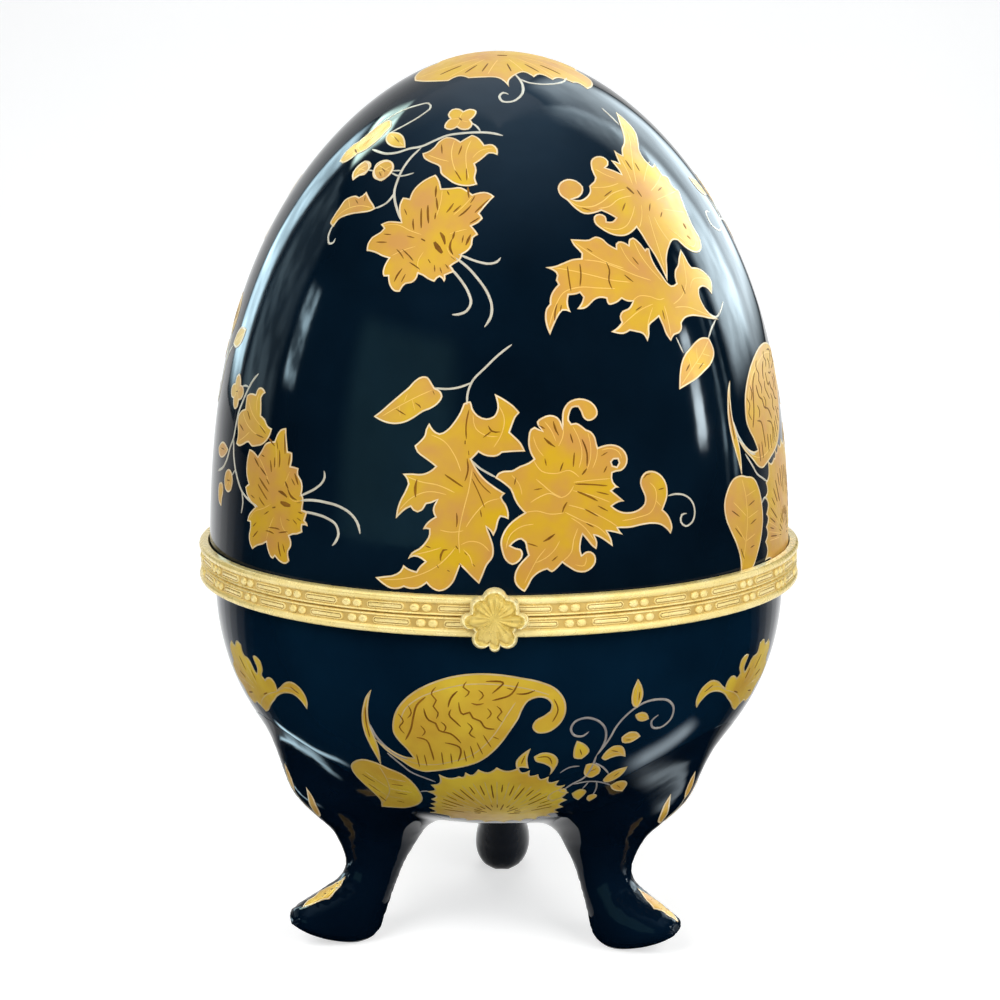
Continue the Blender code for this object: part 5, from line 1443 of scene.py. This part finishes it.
SPRIG_SPRAY = {
    "gold": (
        ((7, 14.4, 6.2, 12.6, 6.1, 10.8, 6.6, 9.4), (7.5, 8.9, 8.2, 10.2, 8.3, 11.8, 7.8, 13.2)),
        ((7.3, 7.5, 8, 6.2, 9, 5.7), (10.3, 5.9, 9.7, 7.2, 8.6, 7.8)),
        ((5.4, 3, 5.8, 1.7, 7.2, 1.3), (9.3, 2.3, 8.2, 3.6, 6.6, 3.9)),
        ((2.4, -1.4, 3, 0.2, 4.2, 1.2, 5.4, 1.1), (7.3, -2.2, 5.8, -1.6, 4.2, -1.8, 3.3, -2.2)),
        ((-3.1, 3.4, -1.5, 2.5, -0.3, 0.6), (-1.4, -1.1, -2.8, -0.8, -3.3, 1)),
        ((-0.2, -2.8, 1, -2.6, 2.2, -3.4, 3, -4.6), (3, -5.8, 1.8, -6.8, 0.4, -6)),
        ((4.4, -8.2, 5, -6.6, 6.2, -5.7), (8.5, -5.4, 8.2, -7.2, 7.2, -8.6), (5.7, -9.3, 4.9, -9)),
        ((6.6, -10.7, 7.6, -9.8, 8.8, -9.8, 10, -10.8), (9.9, -13.7, 8.6, -13.2, 7.4, -12.2)),
        ((-0.6, -11.7, 0.6, -10.4, 1.8, -11), (1.5, -14.7, 0.4, -13.6)),
        ((3, -13.3, 4.1, -13, 4.9, -13.8), (4, -15.8, 3.2, -14.8)),
        ((-5, -11.9, -4.2, -10.2, -2.6, -9.6), (-1.6, -11.2, -2.2, -13), (-3.6, -14, -4.8, -13.2)),
    ),
    "stems": (
        *lines(
            0.46,
            (
                1.3, -0.6, 2, 1.2, 2.3, 3.3, 1.7, 5.8, -0.1, 7.6, -2.4, 8.2, -4.1, 7.5, -4.6, 6, -3.7, 4.6, -2.1, 4.4,
                -1.2, 5.3,
            ),
            (
                1.3, -0.6, 3.1, 3.3, 4, 5.8, 5.8, 8, 8.8, 9.6, 11.3, 9.6, 13.8, 8.7, 15.4, 6.5, 15.1, 4.2, 13.3, 3.1,
                11.5, 3.7, 11, 5.3, 12.2, 6.2,
            ),
            (-2.6, -10, -1.4, -8.2, 0.2, -6.8, 1, -4.2, 1.2, -2.4, 1.3, -0.6),
        ),
        *lines(
            0.38, (-4.6, -4.6, -3.2, -3.2, -1.4, -3), (1.4, -2.6, 3.2, -4, 5, -6.4),
            (-1.2, -8.4, 1.6, -8, 4, -8.8, 6.6, -10.6),
        ),
        (0.34, 1.6, -8.2, 1, -10.4), (0.34, 3.2, -8.4, 3.9, -11, 3.9, -13.2),
    ),
    "veins": lines(
        0.14, (7.3, 9.6, 7.2, 11.4, 7.1, 13.2), (7.8, 7.2, 9.8, 6.2), (6, 2.8, 8.6, 2.4),
        (3, -1.2, 4.8, -0.4, 6.6, -1.6), (0.4, -3.8, 2.2, -5.2), (5.4, -8.6, 7.8, -6.2),
    ),
    "marks": lines(
        0.2, (7.6, 10.4, 7.6, 12), (6.4, 2.2, 7.4, 2), (4, 0.2, 5.4, -0.4), (-2.2, 1.4, -1.6, 0), (1, -4.8, 2, -4.2),
        (6.4, -7.6, 7.2, -6.6), (8, -11, 9, -12.2),
    ),
}

SIDE_BLOSSOM = (
    (
        -7.6, -7.6, -5.6, -6.6, -4.4, -5.6, -2.9, -4.4, -1.3, -3.3, -0.2, -2.4, 1.6, -1.4, 3.9, -0.7, 5.9, -0.8, 7.2,
        -1.8,
    ),
    (8, -3.3, 8.8, -1.8, 8.7, -0.3, 7.8, 1.1, 6, 1.9, 3.9, 1.4, 2.1, 0.2),
    (0.8, -0.6, 0.7, 0.7, -0.3, 1.5, -1.6, 1.3), (-2.6, 0.6, -3.4, 1.2, -2.6, 2.6, -2.7, 4, -4, 4.8, -5.4, 4.6),
    (-5, 3.6, -4.6, 2.2, -5.4, 1.2), (-6.6, 2.6, -7.6, 3.6, -9.4, 3.8), (-10, 5.6, -12, 5.8, -13.6, 4.4),
    (-15.2, 4.8, -17, 3, -16.8, 0.6), (-18.4, -0.8, -17.8, -3.6, -15.4, -4.8),
    (-14.8, -6.6, -12.4, -7.4, -10.2, -6.4),
)
SIDE_SPRAY = {
    "gold": (SIDE_BLOSSOM,),
    "veins": (
        (0.18, -9, -6.8, -6.4, -4.4, -3.4, -2.6, 0.2, -1.2, 4, 0.4, 7, 0.2),
        *lines(
            0.16, (-16.6, -3, -12.4, -2.6, -8.6, -2.8), (-15.6, 2.8, -12, 0.2, -8.4, -1.8),
            (-10.4, 4.6, -8.4, 1.2, -6.6, -1.4), (-3.8, 4, -4, 2, -4.2, 0),
        ),
    ),
    "marks": (
        *lines(0.3, (-14, -0.8, -11.6, -1.4), (-12, 2.8, -10, 0.6), (-7.4, 1.4, -6.4, -0.4)),
        (0.34, -5, -3, -3.2, -2.2), (0.3, -12.8, -5, -10.4, -4.2), (0.24, 5.2, 0.9, 7.2, -0.2),
    ),
}

CAP_FLOWER = (
    (-15.6, 5.3, -14.4, 3.4, -11.9, 1.2), (-9.7, 0, -7.8, 0.9), (-6.1, -0.5, -3.3, -0.9, -1.2, -1.2),
    (1, -4.4, 1.2, -1.9, 2.2, -0.3, 3.8, 1.2), (5.6, -0.3, 6.7, 1.2), (9, 0, 10.2, 1.5), (12.8, 1.3, 13.6, 2),
    (15.4, 1, 16.6, 4, 16.2, 7.6), (14, 9.6, 13.8, 12.4, 11.4, 14.4), (9, 13.8, 7.8, 16.4, 4.6, 17.6),
    (2.2, 16.2, 0, 18.2, -3.4, 17.6), (-5.2, 15.6, -8, 16.2, -10.6, 14.4), (-11.4, 12.2, -13.8, 11.6, -15.4, 8.8),
)
CAP_SPRAY = {
    "gold": (CAP_FLOWER,),
    "stems": (
        (0.5, 2.2, 0.2, 3.3, -2.7, 3.5, -4.9, 2.8, -7.2, 1.1, -8.7, -0.3, -8.6, -0.8, -7.2, -0.1, -6.1, 0.8, -6.6),
        (0.45, 2.8, -1.3, 4.4, -2.4, 6.7, -2.4, 9.2, -1.3, 10.8, 0.3, 11.7, 2.6),
    ),
    "veins": lines(
        0.2, (-14.8, 6, -9, 6.4, -4, 8), (-9.4, 1.4, -6, 4, -3, 7), (-2.6, 0.2, -1.6, 3.4, -0.6, 6.4),
        (3.8, 1.6, 2.6, 4.2, 1.4, 6.8), (9.4, 1, 6.4, 4.4, 3, 7.4), (15.4, 3, 9.6, 6.4, 3.8, 8.6),
        (13.4, 9.6, 8.6, 9.8, 4, 9.8), (8.6, 13.6, 5.6, 12.4, 3, 11.2), (2, 16, 1.2, 13.6, 0.8, 11.8),
        (-5, 15.4, -3, 13.2, -1.6, 11.4), (-11.2, 12, -7.4, 11, -3.4, 10),
    ),
    "marks": (
        *lines(
            0.3, (-6.6, 1.8, -4.4, 4.4), (-3.6, 1.4, -2.4, 4.8), (1.6, 1.2, 1, 4.4), (6.6, 2.2, 4.2, 4.8),
            (10.6, 3.4, 7, 5.6), (-11, 3.6, -7.2, 5.4),
        ),
        (0.9, -0.6, 9.4, 1.2, 9.2),
    ),
}

SHOULDER_BUDS = {
    "gold": (
        ((0, 6.2, -1.8, 4.6, -2.4, 2.6, -1.6, 0.8), (0, -0.2, 1.6, 0.8, 2.4, 2.6, 1.8, 4.6)),
        ((-3.2, -1, -4.8, 0.2, -6.6, 0.4), (-8.6, -0.6, -7.2, -2, -5, -2.2)),
        ((3.2, -2.4, 4.6, -1, 6.4, -0.6), (8.6, -1.4, 7.2, -3.2, 5, -3.4)),
    ),
    "stems": (
        (0.42, 0, 0.2, -0.4, -3, -1.8, -6.4, -4, -8.6, -6.4, -8.6, -7, -6.8, -5.6, -6),
        (0.38, -0.6, -3.2, -2, -2, -3.4, -1.4), (0.38, -0.8, -4.6, 1.2, -3.2, 3.4, -2.7),
    ),
    "veins": ((0.16, 0, 0.8, 0, 5.2), (0.14, -3.8, -1, -7.6, -0.8), (0.14, 3.8, -2.4, 7.6, -1.8)),
    "marks": ((0.22, -1, 2, -1, 4), (0.22, 1, 2, 1, 4)),
}
KNEE_LEAF = {
    "gold": (
        ((0.9, -6, 2.2, -3.8, 3.6, -1.8, 4.6, 0), (5.2, 1.6, 5.6, -0.4, 4.8, -2.8, 3, -5)),
        ((-0.9, -6, -3, -5, -4.8, -2.8, -5.6, -0.4), (-5.2, 1.6, -4.6, 0, -3.6, -1.8, -2.2, -3.8)),
        ((0, -0.8, -1, 0.8, -0.9, 3), (0, 5, 0.9, 3, 1, 0.8)),
    ),
    "grid": 0.7,
    "stems": ((0.36, 0, -7, 0.1, -3.6, 0, -0.6),),
}
TOE_LEAF = {
    "gold": (
        (
            (0, -4.6, -1, -2.8, -1.3, -1), (-2, 0.2, -1.4, 2), (-0.9, 3.6, -0.4, 4.6), (0, 5.6, 0.4, 4.6),
            (0.9, 3.6, 1.4, 2), (2, 0.2, 1.3, -1, 1, -2.8),
        ),
    ),
    "grid": 0.45,
}

MOTIFS = {
    "acanthus": ACANTHUS_SPRAY,
    "peony": PEONY_SPRAY,
    "lotus": LOTUS_SPRAY,
    "bell": BELL_SPRAY,
    "top_left": TOP_LEFT_SPRAY,
    "right": RIGHT_SPRAY,
    "right_leaf": RIGHT_LEAF_SPRAY,
    "paisley": PAISLEY_SPRAY,
    "mum": MUM_SPRAY,
    "sprig": SPRIG_SPRAY,
    "cap": CAP_SPRAY,
    "side": SIDE_SPRAY,
    "buds": SHOULDER_BUDS,
    "knee": KNEE_LEAF,
    "toe": TOE_LEAF,
}

# Where the prints sit: name, motif, azimuth in degrees from the clasp to the right, height in mm, and how
# the motif is turned or shifted there. The lid's set is printed twice round it, the bowl's three times.
LID_PRINTS = (
    ("lid_acanthus", "acanthus", -10, 99, {}),
    ("lid_peony", "peony", 17, 96, {}),
    ("lid_lotus", "lotus", -13, 133, {}),
    ("lid_bell", "bell", -20, 145, {}),
    ("lid_top_left", "top_left", -38, 141, {}),
    ("lid_side_lotus", "lotus", -48, 94, {"turn": 45, "shift": (6.2, -5.4)}),
    ("lid_side_bell", "bell", -48, 94, {"turn": 45, "shift": (-6.5, 1.2)}),
    ("lid_right", "right", 36, 135, {}),
    ("lid_right_leaf", "right_leaf", 40, 112, {}),
    ("lid_paisley", "paisley", 62, 98, {"shift": (6.2, 2.3)}),
    ("lid_mum", "mum", 62, 98, {"shift": (9.5, -11.2)}),
    ("lid_shoulder", "buds", 84, 140, {"turn": -40, "scale": 1.2}),
    ("lid_side_buds", "buds", 101, 116, {"turn": 20, "scale": 1.3}),
)
BOWL_PRINTS = (
    ("bowl_paisley", "paisley", -8, 48, {}),
    ("bowl_mum", "mum", -4, 36, {}),
    ("bowl_sprig", "sprig", 20, 46, {}),
)
BOWL_SIDE_PRINTS = (
    ("bowl_side_left", "side", -50, 55, {}),
    ("bowl_side_right", "side", 53, 55, {"mirror": True}),
    ("bowl_side_rear", "side", 179, 55, {}),
)
# Middles of the prints on a foot: metres out from the egg's axis and up, and degrees of tilt
KNEE_PLACE = (0.038, 0.0315, 0)
TOE_PLACE = (0.0370, 0.0095, 55)

# The finishes of a print, in the order of the faces' numbers
GOLD, EDGE, MARK, VEIN, STEM = range(5)
LID_FINISHES = (GOLD_PRINT, PALE_PRINT, ENGRAVING, VEIN_PRINT, STEM_PRINT)
BOWL_FINISHES = (BOWL_GOLD_PRINT, BOWL_EDGE_PRINT, ENGRAVING, BOWL_EDGE_PRINT, BOWL_STEM_PRINT)

# Layers of the fired print, above the glaze
PRINT_SINK = -0.00002
GOLD_RISE = 0.00004
VEIN_RISE = 0.000055
STEM_RISE = 0.00006
EDGE_RISE = 0.00007
MARK_RISE = 0.00008
EDGE_LINE = 0.33  # mm, the pale line round each gold shape
EDGE_INWARD = 0.45  # share of its width by which it lies inside the gold
RIBBON_PROFILE = (0.5, 0.34, -0.34, -0.5)  # shares of a line's width, the middle two raised
LINE_TIP = 0.3  # share of a line's width at its ends
LINE_TAPER = 2.2  # widths over which it reaches its full width
MARK_WIDER = 1.2
# Kinds of lines: key in a motif, how much wider than written, rise and finish
LINE_KINDS = (("stems", 1, STEM_RISE, STEM), ("veins", 1, VEIN_RISE, VEIN), ("marks", MARK_WIDER, MARK_RISE, MARK))
LINE_STEP = 0.6  # mm between two points of a line
GRID_STEP = 1.3  # mm between two points inside a gold shape
DROP_FROM = 0.016  # height over the tangent plane from which points are dropped
SLOPE_STEP = 1e-4  # height over which the egg's slope is read


def bend(values, closed=False):
    """A smooth line through x, y values, as points about LINE_STEP apart."""
    knots = np.array(values, float).reshape(-1, 2)
    if closed:
        knots = np.vstack([knots, knots[:1]])
    gaps = np.maximum(np.linalg.norm(np.diff(knots, axis=0), axis=1), 1e-6)
    slopes = np.diff(knots, axis=0) / gaps[:, None]
    tangents = np.empty_like(knots)
    before, after = gaps[:-1, None], gaps[1:, None]
    tangents[1:-1] = (slopes[:-1] * after + slopes[1:] * before) / (before + after)
    if closed:
        tangents[0] = (slopes[-1] * gaps[0] + slopes[0] * gaps[-1]) / (gaps[0] + gaps[-1])
        tangents[-1] = tangents[0]
    elif len(knots) == 2:
        tangents[:] = slopes[0]
    else:
        tangents[0] = 1.5 * slopes[0] - 0.5 * tangents[1]
        tangents[-1] = 1.5 * slopes[-1] - 0.5 * tangents[-2]
    points = []
    for i, gap in enumerate(gaps):
        pieces = max(int(round(gap / LINE_STEP)), 1)
        for k in range(pieces):
            t = k / pieces
            points.append(
                (2 * t**3 - 3 * t**2 + 1) * knots[i]
                + (t**3 - 2 * t**2 + t) * gap * tangents[i]
                + (3 * t**2 - 2 * t**3) * knots[i + 1]
                + (t**3 - t**2) * gap * tangents[i + 1]
            )
    if not closed:
        points.append(knots[-1])
    return np.array(points)


def outline(rows):
    """The points round one gold shape, anticlockwise."""
    if len(rows) == 1:
        points = bend(rows[0], closed=True)
    else:
        runs = [bend((*row, *after[:2]))[:-1] for row, after in zip(rows, rows[1:] + rows[:1])]
        points = np.vstack(runs)
    following = np.roll(points, -1, axis=0)
    area = np.sum(points[:, 0] * following[:, 1] - points[:, 1] * following[:, 0])
    return points if area > 0 else points[::-1]


def triangles(shapes, holes, grid):
    """The union of flat shapes as points and triangles, fine enough to bend round the egg."""
    loops = [*shapes, *holes]
    coords = [Vector(p) for loop in loops for p in loop.tolist()]
    faces = []
    start = 0
    for loop in loops:
        faces.append(list(range(start, start + len(loop))))
        start += len(loop)
    low = np.min([loop.min(axis=0) for loop in loops], axis=0)
    high = np.max([loop.max(axis=0) for loop in loops], axis=0)
    row_step = grid * math.sqrt(3) / 2
    for j in range(int((high[1] - low[1]) / row_step) + 1):
        for i in range(int((high[0] - low[0]) / grid) + 1):
            x = low[0] + grid * (i + 0.5 * (j % 2))
            coords.append(Vector((float(x), float(low[1] + row_step * (j + 0.5)))))
    spots, _, tris, _, _, sources = delaunay_2d_cdt(coords, [], faces, 1, 1e-4, True)
    kept = []
    for tri, source in zip(tris, sources):
        if source and all(number < len(shapes) for number in source):
            kept.append(tuple(tri))
    used = sorted({corner for tri in kept for corner in tri})
    place = {corner: spot for spot, corner in enumerate(used)}
    flat = np.array([spots[corner] for corner in used])
    return flat, [tuple(place[corner] for corner in tri) for tri in kept]


def line_width(share, length, width):
    """Full in the middle of a line and thin at its two ends."""
    near = min(share, 1 - share) * length
    return width * min(LINE_TIP + (1 - LINE_TIP) * (near / (LINE_TAPER * width)) ** 0.7, 1)


def sides_of(points, closed):
    """The left-hand direction at each point of a line, longer where the line turns."""
    ahead = np.roll(points, -1, axis=0) - points
    behind = points - np.roll(points, 1, axis=0)
    if not closed:
        ahead[-1] = behind[-1]
        behind[0] = ahead[0]
    ahead = ahead / np.maximum(np.linalg.norm(ahead, axis=1), 1e-9)[:, None]
    behind = behind / np.maximum(np.linalg.norm(behind, axis=1), 1e-9)[:, None]
    mean = ahead + behind
    size = np.maximum(np.linalg.norm(mean, axis=1), 1e-9)
    mean = mean / size[:, None]
    left = np.stack([-mean[:, 1], mean[:, 0]], axis=1)
    return left * np.minimum(2 / size, 1.5)[:, None]


def surface_place(surface, azimuth, height):
    """Where a motif's middle touches the egg: the point, its right, its up and its outward direction."""
    curve = LID_CURVE if surface == "lid" else BOWL_CURVE
    order = np.argsort(curve[:, 1])
    z = height * MM
    low, high = (
        float(np.interp(z + step, curve[order, 1], curve[order, 0])) for step in (-SLOPE_STEP, SLOPE_STEP)
    )
    a = math.radians(azimuth)
    outward = Vector((math.sin(a), -math.cos(a), 0))
    right = Vector((math.cos(a), math.sin(a), 0))
    normal = (outward - Vector((0, 0, (high - low) / (2 * SLOPE_STEP)))).normalized()
    return outward * ((low + high) / 2) + Vector((0, 0, z)), right, normal.cross(right), normal


class Print:
    """Collects the layers of one motif and drops them onto the glaze."""

    def __init__(self, tree, place, turn=0.0, scale=1.0, shift=(0, 0), mirror=False):
        self.tree = tree
        self.origin, self.right, self.up, self.out = place
        a = math.radians(turn)
        flip = -1 if mirror else 1
        self.spin = scale * np.array([[flip * math.cos(a), -math.sin(a)], [flip * math.sin(a), math.cos(a)]])
        self.shift = np.array(shift, float)
        self.flipped = mirror
        self.verts = []
        self.faces = []
        self.finishes = []

    def drop(self, flat):
        """The glaze points and directions under flat points in mm."""
        spots = []
        for x, y in flat @ self.spin.T + self.shift:
            above = self.origin + self.right * (x * MM) + self.up * (y * MM) + self.out * DROP_FROM
            hit, normal, _, _ = self.tree.ray_cast(above, -self.out)
            if hit is None:
                hit, normal, _, _ = self.tree.find_nearest(above - self.out * DROP_FROM)
            if normal.dot(self.out) < 0:
                normal = -normal
            spots.append((hit, normal))
        return spots

    def add(self, verts, faces, finish):
        start = len(self.verts)
        self.verts.extend(verts)
        for face in faces:
            corners = tuple(start + corner for corner in face)
            self.faces.append(corners[::-1] if self.flipped else corners)
        self.finishes.extend([finish] * len(faces))

    def sheet(self, flat, tris, rise, finish):
        spots = self.drop(flat)
        count = len(flat)
        verts = [p + n * rise for p, n in spots] + [p + n * PRINT_SINK for p, n in spots]
        edges = {(tri[k], tri[(k + 1) % 3]) for tri in tris for k in range(3)}
        faces = list(tris)
        faces += [tuple(count + corner for corner in tri[::-1]) for tri in tris]
        faces += [(b, a, a + count, b + count) for a, b in edges if (b, a) not in edges]
        self.add(verts, faces, finish)

    def ribbon(self, points, widths, rise, finish, closed=False, inward=0.0):
        left = sides_of(points, closed)
        widths = np.array(widths)[:, None]
        middle = points + left * widths * inward
        rows = []
        for side, height in zip(RIBBON_PROFILE, (PRINT_SINK, rise, rise, PRINT_SINK)):
            rows.append([p + n * height for p, n in self.drop(middle + left * widths * side)])
        count = len(points)
        verts = [row[i] for i in range(count) for row in rows]
        faces = []
        for i in range(count if closed else count - 1):
            here, there = 4 * i, 4 * ((i + 1) % count)
            for k in range(4):
                faces.append((here + k, here + (k + 1) % 4, there + (k + 1) % 4, there + k))
        if not closed:
            faces.append((3, 2, 1, 0))
            end = 4 * (count - 1)
            faces.append((end, end + 1, end + 2, end + 3))
        self.add(verts, faces, finish)

    def line(self, width, path, rise, finish):
        points = bend(path)
        shares = np.linspace(0, 1, len(points))
        length = float(np.sum(np.linalg.norm(np.diff(points, axis=0), axis=1)))
        self.ribbon(points, [line_width(share, length, width) for share in shares], rise, finish)

    def made(self, name, finishes):
        mesh = bpy.data.meshes.new(name)
        mesh.from_pydata(self.verts, [], self.faces)
        for finish in finishes:
            mesh.materials.append(finish)
        mesh.polygons.foreach_set("material_index", self.finishes)
        mesh.update()
        return link(name, mesh, ())


READY_SHAPES = {}
GLOSSY_PIECES = []  # what mirrors the windows at the sides


def print_motif(name, key, tree, place, body, finishes, **setting):
    """One motif, fired onto the glaze: gold shapes with pale edges, stems, veins and engraved marks."""
    motif = MOTIFS[key]
    if key not in READY_SHAPES:
        shapes = [outline(rows) for rows in motif["gold"]]
        holes = [outline((loop,)) for loop in motif.get("holes", ())]
        READY_SHAPES[key] = (shapes, holes, *triangles(shapes, holes, motif.get("grid", GRID_STEP)))
    shapes, holes, flat, tris = READY_SHAPES[key]
    made = Print(tree, place, **setting)
    made.sheet(flat, tris, GOLD_RISE, GOLD)
    for shape in shapes:
        made.ribbon(shape, [EDGE_LINE] * len(shape), EDGE_RISE, EDGE, closed=True, inward=EDGE_INWARD)
    for hole in holes:
        made.ribbon(hole, [EDGE_LINE] * len(hole), EDGE_RISE, EDGE, closed=True, inward=-EDGE_INWARD)
    for kind, wider, rise, finish in LINE_KINDS:
        for width, *path in motif.get(kind, ()):
            made.line(width * wider, path, rise, finish)
    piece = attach(made.made(name, finishes), body)
    GLOSSY_PIECES.append(piece)


def dress_node(node, finish):
    """Gives a CAD node its finish, with its shape as it is."""
    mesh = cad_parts[node].data
    mesh.materials.clear()
    mesh.materials.append(finish)


def tree_of(pieces):
    """A search tree over the outsides of some pieces, for dropping the print onto them."""
    verts = []
    faces = []
    for piece in pieces:
        start = len(verts)
        verts.extend(v.co.copy() for v in piece.data.vertices)
        faces.extend([start + corner for corner in face.vertices] for face in piece.data.polygons)
    return BVHTree.FromPolygons(verts, faces)


def foot_place(number, outward, height, tilt):
    """A tangent place in front of a foot: outward from the egg's axis, tilted up by some degrees."""
    ahead, right = foot_directions(number)
    a = math.radians(tilt)
    normal = ahead * math.cos(a) + Vector((0, 0, math.sin(a)))
    origin = ahead * outward + Vector((0, 0, height))
    return origin, right, normal.cross(right), normal


make_camera()
make_floor()
make_light()

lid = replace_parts(make_lid(LID_GLAZE), "lid_shell")
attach(lid, "lid")
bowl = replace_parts(make_bowl(BOWL_GLAZE), "base_bowl")
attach(bowl, "base")
feet = [make_foot(number, FOOT_GLAZE) for number in range(FOOT_COUNT)]
for foot in feet:
    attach(foot, "base")

lid_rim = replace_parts(make_rim("lid_rim_stamped", LID_RADIUS, LID_WALL, 1, LID_PATTERN_TURN), "lid_rim")
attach(lid_rim, "lid")
base_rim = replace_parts(make_rim("base_rim_stamped", BOWL_RADIUS, BOWL_WALL, -1, BASE_PATTERN_TURN), "base_rim")
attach(base_rim, "base")
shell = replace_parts(make_ornament(), "clasp_ornament")
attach(shell, "clasp")
HINGE_NODES = ("lid_hinge_leaf", "base_hinge_leaf", "hinge_pin")
dress_node("clasp_tongue", SPRING_BRASS)
dress_node("catch_bead", RIM_BRASS)
for node in HINGE_NODES:
    dress_node(node, HINGE_BRASS)

LID_TREE = tree_of([lid])
BASE_TREE = tree_of([bowl, *feet])
for surface, tree, body, turns, prints, finishes in (
    ("lid", LID_TREE, "lid", (0, 180), LID_PRINTS, LID_FINISHES),
    ("bowl", BASE_TREE, "base", (0, 120, 240), BOWL_PRINTS, BOWL_FINISHES),
    ("bowl", BASE_TREE, "base", (0,), BOWL_SIDE_PRINTS, BOWL_FINISHES),
):
    for copy, copy_turn in enumerate(turns, 1):
        for name, key, azimuth, height, setting in prints:
            place = surface_place(surface, azimuth + copy_turn, height)
            print_motif(f"{name}_{copy}", key, tree, place, body, finishes, **setting)
print_motif("cap_flower", "cap", LID_TREE, surface_place("lid", 3, 163), "lid", LID_FINISHES)
for number in range(FOOT_COUNT):
    for key, spot in (("knee", KNEE_PLACE), ("toe", TOE_PLACE)):
        place = foot_place(number, *spot)
        print_motif(f"{key}_leaf_{number + 1}", key, BASE_TREE, place, "base", LID_FINISHES)

GLOSSY_PIECES.extend([lid, bowl, *feet])
HINGE_PIECES = [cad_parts[node] for node in HINGE_NODES]
make_windows(GLOSSY_PIECES, [lid_rim, base_rim, shell, *HINGE_PIECES])

bpy.context.scene.view_settings.view_transform = "Standard"
